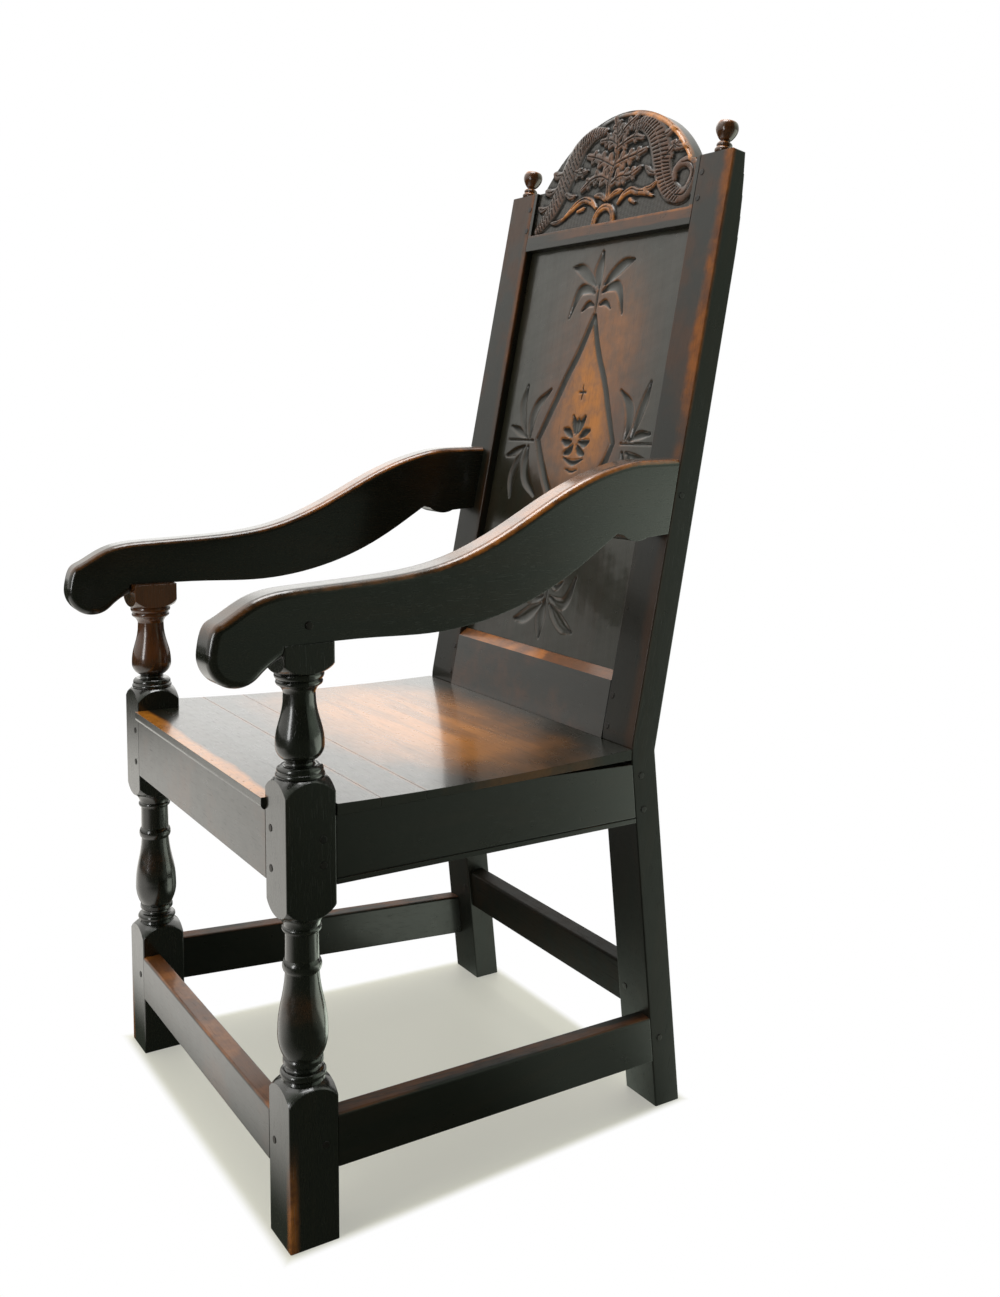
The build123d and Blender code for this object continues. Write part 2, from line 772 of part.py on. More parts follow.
with BuildPart() as lower_back_rail:
    block_on(
        back_plane,
        across_back,
        (back_rail_bottom - seat_thickness, back_rail_shoulder),
        (-back_rail_thickness, 0),
    )
    front_arris = lower_back_rail.edges().filter_by(Axis.X).sort_by(Axis.Z)[-2:].sort_by(Axis.Y)[0]
    chamfer(front_arris, length=panel_recess)
    split(bisect_by=seat_top_plane.offset(fit), keep=Keep.TOP)
    block_on(
        back_plane,
        across_back,
        (back_rail_shoulder - groove_depth, back_rail_shoulder + groove_depth),
        grown(groove_band),
        mode=Mode.SUBTRACT,
    )
    for side in (back_rail_tenon[0], mirrored(back_rail_tenon[0])):
        block_on(back_plane, side, *back_rail_tenon[1:])
    drill(both_sides(back_rail_pegs), length=back_peg_length)

# ---------------------------------------------------------------- crest rail
ground_bottom = crest_bottom + crest_band
ground_edge = between_posts - ground_margin
with BuildPart() as crest_rail:
    with BuildSketch(back_plane):
        with BuildLine():
            Polyline(
                (-crest_arch_half_width, stile_length),
                (-between_posts, stile_length),
                (-between_posts, crest_bottom),
                (between_posts, crest_bottom),
                (between_posts, stile_length),
                (crest_arch_half_width, stile_length),
            )
            ThreePointArc(
                (crest_arch_half_width, stile_length),
                (0, stile_length + crest_arch_rise),
                (-crest_arch_half_width, stile_length),
            )
        make_face()
    extrude(amount=-crest_thickness)
    with BuildSketch(back_plane):
        with Locations((0, ground_bottom)):
            Rectangle(
                2 * ground_edge,
                stile_length + crest_arch_rise + fit - ground_bottom,
                align=(Align.CENTER, Align.MIN),
            )
    extrude(amount=-ground_depth, mode=Mode.SUBTRACT)
    block_on(
        back_plane,
        across_back,
        (crest_bottom - groove_depth, crest_bottom + groove_depth),
        grown(groove_band),
        mode=Mode.SUBTRACT,
    )
    for side in (crest_tenon[0], mirrored(crest_tenon[0])):
        block_on(back_plane, side, *crest_tenon[1:])
    drill(both_sides(crest_pegs), length=back_peg_length)

# ---------------------------------------------------------------- back panel
panel_half = between_posts + groove_depth - blind_depth
panel_low = back_rail_shoulder - groove_depth + blind_depth
panel_high = crest_bottom + groove_depth - blind_depth
field_inset = groove_depth + blind_depth
with BuildPart() as back_panel:
    block_on(
        back_plane,
        (-panel_half, panel_half),
        (panel_low, panel_high),
        (-panel_recess - panel_tongue, -panel_recess),
    )
    with BuildSketch(back_plane.offset(-panel_recess - panel_tongue)):
        with Locations((0, (panel_low + panel_high) / 2)):
            Rectangle(
                2 * (panel_half - field_inset), panel_high - panel_low - 2 * field_inset
            )
    extrude(amount=-(panel_thickness - panel_tongue))
    back_face = back_panel.faces().filter_by(
        lambda face: abs(back_plane.to_local_coords(face.center()).Z + panel_recess + panel_thickness) < 0.01
    )[0]
    chamfer(
        back_face.edges(),
        length=panel_feather - field_inset,
        length2=(panel_thickness - panel_tongue) * 0.95,
        reference=back_face,
    )


# ---------------------------------------------------------------- seat boards
def seat_side(y):
    """Side edge of the seat at a distance from the front."""
    share = (y - leg_size) / (frame_depth - leg_size)
    return side_face - side_taper * share + seat_overhang


hollow_half = (frame_depth - leg_size) / 2
hollow_radius = (hollow_half**2 + seat_hollow**2) / (2 * seat_hollow)
hollow_plane = Plane(
    origin=seat_top_plane.from_local_coords((0, leg_size + hollow_half, hollow_radius - seat_hollow)),
    z_dir=(1, 0, 0),
)


def wear_hollow():
    """Wear the middle of the seat out of the board in hand."""
    with Locations(Location(hollow_plane)):
        Cylinder(radius=hollow_radius, height=2 * front_width, mode=Mode.SUBTRACT)


with BuildPart() as seat_board_front:
    with BuildSketch(seat_plane):
        with BuildLine():
            half = [
                (0, -seat_nosing),
                (between_legs - notch, -seat_nosing),
                (between_legs - notch, leg_size + notch),
                (seat_side(leg_size), leg_size + notch),
                (seat_side(front_board_edge), front_board_edge - board_seam / 2),
                (0, front_board_edge - board_seam / 2),
            ]
            Polyline(*half)
            mirror(Polyline(*half), about=Plane.YZ)
        make_face()
    extrude(amount=seat_thickness)
    nosing = seat_board_front.edges().filter_by(Axis.X).group_by(Axis.Y)[0].sort_by(Axis.Z)
    fillet(nosing[-1], radius=nosing_radius)
    wear_hollow()
with BuildPart() as seat_board_middle:
    with BuildSketch(seat_plane):
        with BuildLine():
            Polyline(
                (-seat_side(front_board_edge), front_board_edge + board_seam / 2),
                (seat_side(front_board_edge), front_board_edge + board_seam / 2),
                (seat_side(middle_board_edge), middle_board_edge - board_seam / 2),
                (-seat_side(middle_board_edge), middle_board_edge - board_seam / 2),
                close=True,
            )
        make_face()
    extrude(amount=seat_thickness)
    wear_hollow()
with BuildPart() as seat_board_rear:
    with BuildSketch(seat_plane):
        with BuildLine():
            rear_notch = frame_depth - notch
            half = [
                (0, middle_board_edge + board_seam / 2),
                (seat_side(middle_board_edge), middle_board_edge + board_seam / 2),
                (seat_side(rear_notch), rear_notch),
                (between_posts - notch, rear_notch),
                (between_posts - notch, frame_depth + seat_tongue),
                (0, frame_depth + seat_tongue),
            ]
            Polyline(*half)
            mirror(Polyline(*half), about=Plane.YZ)
        make_face()
    extrude(amount=seat_thickness)
    wear_hollow()


# ---------------------------------------------------------------- arms
def along_arm(share, rise):
    """Point on the arm's top line: share of the run, share of the rise."""
    low = arm_height + arm_depth_front
    return (share * arm_run, low + rise * (arm_rear_top - low))


def under_arm(share, rise):
    """Point on the arm's lower line: share of the run, share of the rise."""
    return (share * arm_run, arm_height + rise * (arm_rear_bottom - arm_height))


arm_reach = stile_front(arm_rear_top) + arm_tenon_length
scroll_centre = (-scroll_reach, arm_height - scroll_drop)


def on_scroll(degrees_round):
    """Point of the scroll at an angle from the rear of the chair."""
    turn = radians(degrees_round)
    return (
        scroll_centre[0] + scroll_radius * cos(turn),
        scroll_centre[1] + scroll_radius * sin(turn),
    )


def round_scroll(degrees_round):
    """Direction of travel round the scroll at an angle."""
    turn = radians(degrees_round)
    return (-sin(turn), cos(turn))


scroll_middle = (scroll_start + scroll_end) / 2
arm_flat = leg_size + 2 * arris_radius  # level underside of the arm on the leg
with BuildPart() as arm_right:
    with BuildSketch(arm_plane):
        with BuildLine():
            rear_top = along_arm(0.915, 0.99)
            arm_crook = along_arm(0.54, 0.36)
            Line((arm_reach, arm_rear_top), rear_top)
            Spline(
                rear_top,
                along_arm(0.835, 0.94),
                along_arm(0.71, 0.75),
                arm_crook,
                along_arm(0.37, 0.07),
                along_arm(0.2, -0.02),
                along_arm(0.04, -0.05),
                (-scroll_reach * 0.68, arm_height + arm_depth_front * 0.76),
                (-scroll_reach * 1.3, arm_height + arm_depth_front * 0.5),
                on_scroll(scroll_start),
                tangents=[(-1, -0.02), round_scroll(scroll_start)],
            )
            ThreePointArc(on_scroll(scroll_start), on_scroll(scroll_middle), on_scroll(scroll_end))
            scroll_return = TangentArc(
                on_scroll(scroll_end), (-notch, arm_height - scroll_gap), tangent=round_scroll(scroll_end)
            )
            Line(scroll_return @ 1, (-notch, arm_height))
            Line((-notch, arm_height), (arm_flat, arm_height))
            Spline(
                (arm_flat, arm_height),
                under_arm(0.2, -0.01),
                under_arm(0.34, -0.035),
                under_arm(0.53, 0.14),
                under_arm(0.72, 0.63),
                under_arm(0.83, 1.05),
                tangents=[(1, 0), (0.83, 0.52)],
            )
            Line(under_arm(0.83, 1.05), under_arm(0.848, 1.02))
            ThreePointArc(under_arm(0.848, 1.02), under_arm(0.875, 0.935), under_arm(0.92, 0.965))
            arm_end = under_arm(arm_reach / arm_run, 1.026)
            Line(under_arm(0.92, 0.965), arm_end)
            Line(arm_end, (arm_reach, arm_rear_top))
        make_face()
    extrude(amount=-arm_width)
    rim_points = [
        arm_plane.from_local_coords((*point, depth))
        for point in (arm_crook, on_scroll(scroll_middle), scroll_return @ 0.5)
        for depth in (0, -arm_width)
    ]
    rims = [arm_right.edges().sort_by_distance(point)[0] for point in rim_points]
    fillet(rims, radius=arm_edge_radius)
    split(bisect_by=back_plane, keep=Keep.TOP)
    block(*arm_tenon)
    with Locations((leg_x, leg_y, arm_height)):
        Cylinder(
            radius=support_tenon_diameter / 2 + fit,
            height=2 * (support_tenon_length + blind_depth),
            mode=Mode.SUBTRACT,
        )
    drill(arm_support_pegs + arm_stile_pegs)
with BuildPart() as arm_left:
    mirror(arm_right.part, about=Plane.YZ)

# ---------------------------------------------------------------- finials
finial_seat = back_plane.from_local_coords(
    (between_posts + post_width / 2, stile_length, -stile_top_depth / 2)
)
finial_neck = finial_radius * 0.34
with BuildPart() as finial_right:
    with BuildSketch(Plane(finial_seat, x_dir=(1, 0, 0), z_dir=back_plane.z_dir)):
        with BuildLine():
            dowel = finial_dowel_diameter / 2
            low_ring_radius = finial_radius * 0.8
            high_ring_radius = finial_radius * 0.7
            Polyline(
                (0, -finial_dowel_length),
                (dowel, -finial_dowel_length),
                (dowel, 0),
                (low_ring_radius * 0.9, 0),
            )
            finial_low = ThreePointArc(
                (low_ring_radius * 0.9, 0),
                (low_ring_radius, finial_height * 0.09),
                (high_ring_radius * 0.9, finial_height * 0.18),
            )
            finial_high = ThreePointArc(
                finial_low @ 1,
                (high_ring_radius, finial_height * 0.25),
                (finial_neck, finial_height * 0.33),
            )
            cup_foot = Line(finial_high @ 1, (finial_neck, finial_height * 0.38))
            cup = Spline(
                cup_foot @ 1,
                (finial_radius * 0.74, finial_height * 0.51),
                (finial_radius, finial_height * 0.76),
                (finial_radius * 0.88, finial_height * 0.93),
                (finial_radius * 0.6, finial_height * 0.985),
                tangents=[(1, 0.35), (-1, 0.12)],
            )
            Polyline(cup @ 1, (0, finial_height), (0, -finial_dowel_length))
        make_face()
    revolve(axis=Axis(finial_seat, back_plane.y_dir))
with BuildPart() as finial_left:
    mirror(finial_right.part, about=Plane.YZ)

# ---------------------------------------------------------------- pegs
with BuildPart() as seat_rail_pegs:
    drive(both_sides(front_rail_pegs + side_rail_front_pegs + side_rail_rear_pegs + rear_rail_pegs))
with BuildPart() as stretcher_pegs:
    drive(both_sides(front_stretcher_pegs + side_stretcher_front_pegs))
    drive(both_sides(side_stretcher_rear_pegs + rear_stretcher_pegs))
with BuildPart() as back_frame_pegs:
    drive(both_sides(back_rail_pegs + crest_pegs), length=back_peg_length)
with BuildPart() as arm_pegs:
    drive(both_sides(arm_support_pegs + arm_stile_pegs))

# ---------------------------------------------------------------- pieces
pieces = {
    "front_leg_right": front_leg_right,
    "front_leg_left": front_leg_left,
    "rear_post_right": rear_post_right,
    "rear_post_left": rear_post_left,
    "front_seat_rail": front_seat_rail,
    "side_seat_rail_right": side_seat_rail_right,
    "side_seat_rail_left": side_seat_rail_left,
    "rear_seat_rail": rear_seat_rail,
    "front_stretcher": front_stretcher,
    "side_stretcher_right": side_stretcher_right,
    "side_stretcher_left": side_stretcher_left,
    "rear_stretcher": rear_stretcher,
    "lower_back_rail": lower_back_rail,
    "crest_rail": crest_rail,
    "back_panel": back_panel,
    "seat_board_front": seat_board_front,
    "seat_board_middle": seat_board_middle,
    "seat_board_rear": seat_board_rear,
    "arm_right": arm_right,
    "arm_left": arm_left,
    "finial_right": finial_right,
    "finial_left": finial_left,
    "seat_rail_pegs": seat_rail_pegs,
    "stretcher_pegs": stretcher_pegs,
    "back_frame_pegs": back_frame_pegs,
    "arm_pegs": arm_pegs,
}

# The finished chair stands with the middle of its outline over the origin.
boxes = [piece.part.bounding_box() for piece in pieces.values()]
middle_y = (min(box.min.Y for box in boxes) + max(box.max.Y for box in boxes)) / 2
os.makedirs("parts", exist_ok=True)
for name, piece in pieces.items():
    placed = piece.part.moved(Location((0, -middle_y, 0)))
    placed.label = name
    export_step(placed, f"parts/{name}.step")
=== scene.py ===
"""Looks of a joined oak wainscot chair: finishes, carved work and a pale studio."""

import logging
import math
from collections.abc import Callable, Sequence
from dataclasses import dataclass, field, replace
from enum import Enum
from functools import cache

import bmesh
import bpy
import numpy as np
from mathutils import Matrix, Vector


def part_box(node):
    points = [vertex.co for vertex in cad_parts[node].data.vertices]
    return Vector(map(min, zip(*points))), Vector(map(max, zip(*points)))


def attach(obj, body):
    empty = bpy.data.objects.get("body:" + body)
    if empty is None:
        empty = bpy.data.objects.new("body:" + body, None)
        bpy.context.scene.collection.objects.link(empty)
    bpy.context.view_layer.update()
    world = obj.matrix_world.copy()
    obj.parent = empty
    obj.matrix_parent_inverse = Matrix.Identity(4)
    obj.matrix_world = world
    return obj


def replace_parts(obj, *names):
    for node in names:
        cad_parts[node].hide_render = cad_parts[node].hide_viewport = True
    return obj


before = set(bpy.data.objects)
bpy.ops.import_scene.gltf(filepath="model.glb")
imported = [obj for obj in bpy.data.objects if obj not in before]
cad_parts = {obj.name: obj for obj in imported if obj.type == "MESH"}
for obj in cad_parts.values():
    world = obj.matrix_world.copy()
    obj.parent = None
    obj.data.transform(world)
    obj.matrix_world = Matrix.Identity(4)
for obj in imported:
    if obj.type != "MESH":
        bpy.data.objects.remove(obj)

log = logging.getLogger("wainscot_chair")

MM = 0.001
Colour = tuple[float, float, float]
Point = tuple[float, float]
Socket = bpy.types.NodeSocket
Surface = tuple[np.ndarray, dict[str, np.ndarray]]


def srgb(red: int, green: int, blue: int) -> Colour:
    """Turn a screen colour, each part 0 to 255, into the linear one that a shader takes."""
    shares = (value / 255 for value in (red, green, blue))
    return tuple(s / 12.92 if s <= 0.04045 else ((s + 0.055) / 1.055) ** 2.4 for s in shares)


# -------- the chair's planes
@dataclass(frozen=True)
class BackPlane:
    """The raked face of the chair's back, in metres.

    Attributes:
        knee_y: Where the face starts at the knee of the posts.
        knee_z: Height of the knee.
        rake: Lean of the back, in radians.
    """

    knee_y: float
    knee_z: float = 0.425
    rake: float = math.radians(11.3)

    def point(self, across: float, up: float, out: float) -> Vector:
        """Place a point across, up the back from the knee, and out from the stiles' face."""
        lean, rise = math.sin(self.rake), math.cos(self.rake)
        return Vector((across, self.knee_y + up * lean - out * rise, self.knee_z + up * rise + out * lean))


FRAME_DEPTH = 418 * MM
LEG_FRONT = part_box("front_leg_right")[0].y
LEG_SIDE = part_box("front_leg_right")[1].x
BACK = BackPlane(knee_y=LEG_FRONT + FRAME_DEPTH)
POST_FACE = BACK.knee_y - BACK.knee_z * math.tan(BACK.rake)
SEAMS = (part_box("seat_board_front")[1].y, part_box("seat_board_middle")[1].y)
# the crest's forms, up the back from the knee, and the height of a stain on the legs
FIELD_FOOT, BAND_MIDDLE, ARCH_CENTRE = 0.6185, 0.6115, 0.5766
LEG_STAIN = 0.236


# -------- shader workbench
def operator(operation: str, swapped: bool = False) -> Callable[..., "Wire"]:
    """Make one of Wire's operators from a Math node.

    Args:
        operation: The node's operation.
        swapped: Whether the wire is what comes second.

    Returns:
        The method.
    """

    def apply(wire: "Wire", *others: "Value") -> "Wire":
        """Add the node."""
        return wire.bench.math(operation, *((*others, wire) if swapped else (wire, *others)))

    return apply


@dataclass(frozen=True)
class Wire:
    """A value socket of a workbench's tree, which takes part in Python expressions."""

    bench: "ShaderBench"
    socket: Socket

    __add__ = __radd__ = operator("ADD")
    __sub__ = operator("SUBTRACT")
    __rsub__ = operator("SUBTRACT", swapped=True)
    __mul__ = __rmul__ = operator("MULTIPLY")
    __truediv__ = operator("DIVIDE")
    __pow__ = operator("POWER")
    __abs__ = operator("ABSOLUTE")


Value = Wire | float


class Pattern(Enum):
    """A noise: its frequency per metre, its octaves, the weight of the finer ones, and its fold."""

    FIGURE = (42, 4, 0.6, 0.6)
    LINES = (420, 3, 0.55, 0.2)
    PORES = (1100, 1.5, 0.4, 0.0)
    CLOUDS = (11, 4, 0.55, 0.0)
    SPOTS = (60, 4, 0.6, 0.0)
    WAVES = (26, 2, 0.45, 0.0)
    DENTS = (95, 2, 0.5, 0.0)


class ShaderBench:
    """A node tree with short calls for its nodes."""

    def __init__(self, tree: bpy.types.NodeTree) -> None:
        """Start on the emptied tree of a material or of the world."""
        self.tree = tree
        tree.nodes.clear()

    @classmethod
    def for_material(cls, name: str) -> "tuple[ShaderBench, bpy.types.Material]":
        """Start a new material.

        Args:
            name: Its name.

        Returns:
            Its workbench and the material.
        """
        material = bpy.data.materials.new(name)
        material.use_nodes = True
        return cls(material.node_tree), material

    def node(self, kind: str, sockets: dict | None = None, **settings: object) -> bpy.types.Node:
        """Add a node.

        Args:
            kind: The node's type, without the ShaderNode prefix.
            sockets: Values or links, by input name or number.
            **settings: Its properties, which are set first.

        Returns:
            The node.
        """
        made = self.tree.nodes.new("ShaderNode" + kind)
        for key, value in settings.items():
            setattr(made, key, value)
        for key, value in (sockets or {}).items():
            self.feed(made.inputs[key], value)
        return made

    def feed(self, target: Socket, value: object) -> None:
        """Link or set an input socket.

        Args:
            target: The input socket.
            value: A wire, an output socket, a number, a vector or a colour.
        """
        if isinstance(value, Wire):
            value = value.socket
        if isinstance(value, Socket):
            self.tree.links.new(value, target)
        elif isinstance(value, tuple) and len(value) == 3 and target.type == "RGBA":
            target.default_value = (*value, 1.0)
        else:
            target.default_value = value

    def math(self, operation: str, *values: Value) -> Wire:
        """Add a Math node, with its inputs in order."""
        return Wire(self, self.node("Math", dict(enumerate(values)), operation=operation).outputs[0])

    def higher(self, first: Value, second: Value) -> Wire:
        """Give the higher of two values."""
        return self.math("MAXIMUM", first, second)

    def step(self, value: Value, low: float, high: float) -> Wire:
        """Rise smoothly from 0 to 1 between two values, or fall where low is above high.

        Args:
            value: What is measured.
            low: Where the result is 0.
            high: Where the result is 1.

        Returns:
            The result.
        """
        sockets = {"Value": value, "From Min": min(low, high), "From Max": max(low, high),
                   "To Min": float(low > high), "To Max": float(low < high)}
        made = self.node("MapRange", sockets, interpolation_type="SMOOTHSTEP", clamp=True)
        return Wire(self, made.outputs["Result"])

    def axes(self, vector: Socket) -> tuple[Wire, Wire, Wire]:
        """Split a vector into its three parts."""
        return tuple(Wire(self, part) for part in self.node("SeparateXYZ", {0: vector}).outputs)

    def drawn(self, vector: Socket, length: float, turn: Sequence[float] = (0, 0, 0)) -> Socket:
        """Measure a point in a turned frame with a longer Z unit, which draws a pattern out."""
        sockets = {"Vector": vector, "Rotation": turn, "Scale": (1, 1, length)}
        return self.node("Mapping", sockets, vector_type="TEXTURE").outputs[0]

    def noise(self, vector: Socket, pattern: Pattern) -> Wire:
        """Add a pattern of noise, between 0 and 1, that is read at a point."""
        values = dict(zip(("Scale", "Detail", "Roughness", "Distortion"), pattern.value))
        return Wire(self, self.node("TexNoise", {"Vector": vector, **values}).outputs[0])

    def blend(self, share: Value, first: object, second: object, mode: str = "MIX") -> Socket:
        """Blend a share of the second colour into the first."""
        sockets = {0: share, 6: first, 7: second}
        return self.node("Mix", sockets, data_type="RGBA", blend_type=mode).outputs[2]

    def attribute(self, name: str) -> Wire:
        """Read a value that the piece's mesh carries."""
        made = self.node("Attribute", attribute_name=name, attribute_type="GEOMETRY")
        return Wire(self, made.outputs["Fac"])

    def glow(self, colour: object, strength: float = 1.0) -> Socket:
        """Add light of a colour."""
        return self.node("Emission", {"Color": colour, "Strength": strength}).outputs[0]

    def mix(self, share: object, first: Socket, second: Socket) -> Socket:
        """Mix a share of the second shader into the first."""
        return self.node("MixShader", {0: share, 1: first, 2: second}).outputs[0]

    def end(self, kind: str, shader: Socket) -> None:
        """Close the tree with its output node, which shows a shader."""
        self.node(kind, {"Surface": shader})


# -------- oak finishes
class Grain(Enum):
    """The direction that a piece's grain runs in, as a turn that brings Z along it."""

    UPRIGHT = (0.0, 0.0, 0.0)
    UP_BACK = (-BACK.rake, 0.0, 0.0)
    ACROSS = (0.0, math.pi / 2, 0.0)
    FRONT_TO_BACK = (math.pi / 2, 0.0, 0.0)


class Worn(Enum):
    """Where hands, feet and clothes have worn a piece down to the brown wood."""

    POSTS = "posts"
    TURNINGS = "turnings"
    CROSS_RAILS = "cross rails"
    SIDE_RAILS = "side rails"
    CREST = "crest"
    CARVING = "carving"
    PANEL = "panel"
    SEAT = "seat"
    ARMS = "arms"
    KNOBS = "knobs"
    HEADS = "heads"


# how far figure, pores and the plane's waves are drawn out along the grain
FIGURE_STRETCH, PORE_STRETCH, WAVE_STRETCH = 14, 1.6, 3
LINE_DEPTH, PORE_DEPTH = 0.03 * MM, 0.04 * MM
ARRIS_RADIUS = 1.3 * MM
GRAIN_TINT: Colour = (0.35, 0.32, 0.3)
# tint that darkens the carving's hollows as painted shade
HOLLOW_SHADE: Colour = (0.2, 0.21, 0.16)


@dataclass(frozen=True)
class Oak:
    """A finish of old waxed oak.

    Attributes:
        grain: Direction of its grain.
        worn: The pattern of its wear.
        dark: Colour of the wax and smoke.
        brown: Colour of the streaks that show through it.
        chestnut: Colour where it is rubbed.
        bare: Colour where it is worn through.
        show: How much brown shows through the dark, 0 to 1.
        roughness: Roughness of the wax.
        coat: Weight of its polish.
        specular: Strength of the wood's own gloss.
        wave: Height of the plane's waves.
        dent: Depth of the small dents.
        relief: How deep the grain is cut, 1 where it is full.
    """

    grain: Grain
    worn: Worn
    dark: Colour = srgb(20, 22, 15)
    brown: Colour = srgb(48, 32, 18)
    chestnut: Colour = srgb(114, 62, 20)
    bare: Colour = srgb(204, 124, 46)
    show: float = 0.3
    roughness: float = 0.27
    coat: float = 0.2
    specular: float = 0.5
    wave: float = 0.14 * MM
    dent: float = 0.12 * MM
    relief: float = 1.0

    def material(self, name: str) -> bpy.types.Material:
        """Build the finish.

        Args:
            name: The material's name.

        Returns:
            The material.
        """
        bench, material = ShaderBench.for_material(name)
        point = bench.node("TexCoord").outputs["Object"]
        grained = bench.drawn(point, FIGURE_STRETCH, self.grain.value)
        # figure: broad streaks, fine lines and open pores, all drawn out along the grain
        figure = bench.noise(grained, Pattern.FIGURE)
        lines = bench.noise(grained, Pattern.LINES)
        pores = bench.step(bench.noise(bench.drawn(grained, PORE_STRETCH), Pattern.PORES), 0.62, 0.72)
        # patina: clouds of wax and smoke, and the spots where it has lifted
        clouds = bench.noise(point, Pattern.CLOUDS)
        spots = bench.noise(point, Pattern.SPOTS)
        streaks = bench.step(figure * 0.6 + clouds * 0.4, 0.42, 0.66)
        rubbed, bare, dry = self.wear(bench, point, clouds, spots, figure)
        colour = bench.blend(streaks * self.show, self.dark, self.brown)
        colour = bench.blend(rubbed, colour, self.chestnut)
        colour = bench.blend(bare, colour, self.bare)
        colour = bench.blend(lines * 0.5 + pores * 0.4, colour, GRAIN_TINT, "MULTIPLY")
        # the carved pieces are darker in their hollows: painted shade
        if self.worn in (Worn.CARVING, Worn.PANEL):
            colour = bench.blend(bench.attribute("deep"), colour, HOLLOW_SHADE, "MULTIPLY")
        # heights in metres: waves of the plane, grain, pores and small dents
        waves = bench.noise(bench.drawn(point, WAVE_STRETCH, self.grain.value), Pattern.WAVES)
        dents = bench.step(bench.noise(point, Pattern.DENTS), 0.3, 0.12)
        cuts = (lines * LINE_DEPTH - pores * PORE_DEPTH) * self.relief
        height = waves * self.wave + cuts - dents * self.dent
        soft = bench.node("Bevel", {"Radius": ARRIS_RADIUS}, samples=4).outputs[0]
        bump = {"Strength": 1.0, "Distance": 1.0, "Height": height, "Normal": soft}
        rough = self.roughness + (spots - 0.5) * 0.14 + pores * 0.15 + lines * 0.06 + dry * 0.3
        shader = bench.node("BsdfPrincipled", {
            "Base Color": colour,
            "Roughness": rough,
            "Normal": bench.node("Bump", bump).outputs[0],
            "Specular IOR Level": self.specular,
            "Coat Weight": bench.higher(self.coat * (1.0 - dry), 0.0),
            "Coat Roughness": 0.12,
        })
        bench.end("OutputMaterial", shader.outputs[0])
        return material

    def wear(self, bench: ShaderBench, point: Socket, clouds: Wire, spots: Wire,
             figure: Wire) -> tuple[Value, Value, Value]:
        """Work out where the finish is rubbed, worn through and dry.

        Args:
            bench: The material's workbench.
            point: The position on the piece.
            clouds: Broad noise.
            spots: Fine noise.
            figure: Streaks along the grain.

        Returns:
            Masks of the rubbed, the bare and the unpolished wood.
        """
        step = bench.step
        across, depth, height = bench.axes(point)
        sideward, _, upward = bench.axes(bench.node("NewGeometry").outputs["Normal"])
        side = abs(across)
        ahead = depth - height * math.tan(BACK.rake)
        drift, speck = clouds - 0.5, spots - 0.5
        broken = step(spots * 0.6 + clouds * 0.4, 0.36, 0.62)
        top = step(upward, 0.3, 0.9)
        if self.worn in (Worn.CARVING, Worn.PANEL):
            rubbed, bare, deep = map(bench.attribute, ("rubbed", "bare", "deep"))
            if self.worn is Worn.CARVING:
                return rubbed * (0.3 + broken * 0.7), bare * broken, deep * 1.4
            bare = bare * (0.4 + broken * 0.6)
            return rubbed * (0.5 + broken * 0.5), bare, bench.higher(bare * 0.6, deep)
        if self.worn is Worn.POSTS:
            # the outer arris on the sitter's left, the inner one on the right, and the faces high up
            front = step(ahead, POST_FACE + 0.006, POST_FACE - 0.001)
            place = side + speck * 0.012 + drift * 0.016
            outer = step(place, 0.208, 0.2225) * step(across, 0.0, 0.1)
            inner = step(place, 0.184, 0.174) * step(across, 0.0, -0.1) * 0.5
            arris = (outer + inner) * front
            high = step(height + drift * 0.4, 0.66, 0.95)
            low = step(height, 0.43, 0.38)
            rubbed = arris * (0.2 + high * 0.6) + front * high * step(clouds, 0.4, 0.6) * 0.3
            return rubbed, arris * high * broken * 0.35, bench.higher(rubbed * 1.3, low * 0.6)
        if self.worn is Worn.TURNINGS:
            # the support on the sitter's right, the outer arrises near the floor, and a stain above them
            support = step(height, 0.468, 0.5) * step(across, 0.0, -0.1)
            gap = (LEG_SIDE - side) + (depth - LEG_FRONT)
            arris = step(gap + speck * 0.006, 0.011, 0.003)
            low = step(height + drift * 0.08, 0.11, 0.03)
            stain = step(abs(height - LEG_STAIN) + speck * 0.02, 0.022, 0.0) * broken
            rubbed = support * (0.25 + clouds * 0.6) + arris * low * 0.9 + stain * 0.25
            return rubbed, arris * low * broken * 0.6, 0.0
        if self.worn is Worn.SEAT:
            # the sitter's place, the rounded front edge with a band behind it, and the seams
            place, back = (across + 0.035) * 0.5, depth - 0.01
            span = (place * place + back * back) ** 0.5
            middle = step(span + drift * 0.09 + (figure - 0.5) * 0.08, 0.165, 0.03)
            nosing = step(upward, 0.2, 0.5) * step(upward, 0.98, 0.85)
            worn = step(depth + drift * 0.016, LEG_FRONT + 0.015, LEG_FRONT + 0.007)
            front = bench.higher(nosing, top) * worn * (0.6 + broken * 0.4)
            seams = bench.higher(*(step(abs(depth - seam), 0.004, 0.001) for seam in SEAMS)) * top
            rubbed = middle * 0.8 + front + (figure - 0.5) * 0.2 * top + seams * 0.3
            bare = middle * (0.4 + 0.6 * step(figure, 0.35, 0.62)) + front * 0.9 + seams * broken * 0.3
            return rubbed, bare, step(abs(sideward), 0.3, 0.8)
        if self.worn is Worn.ARMS:
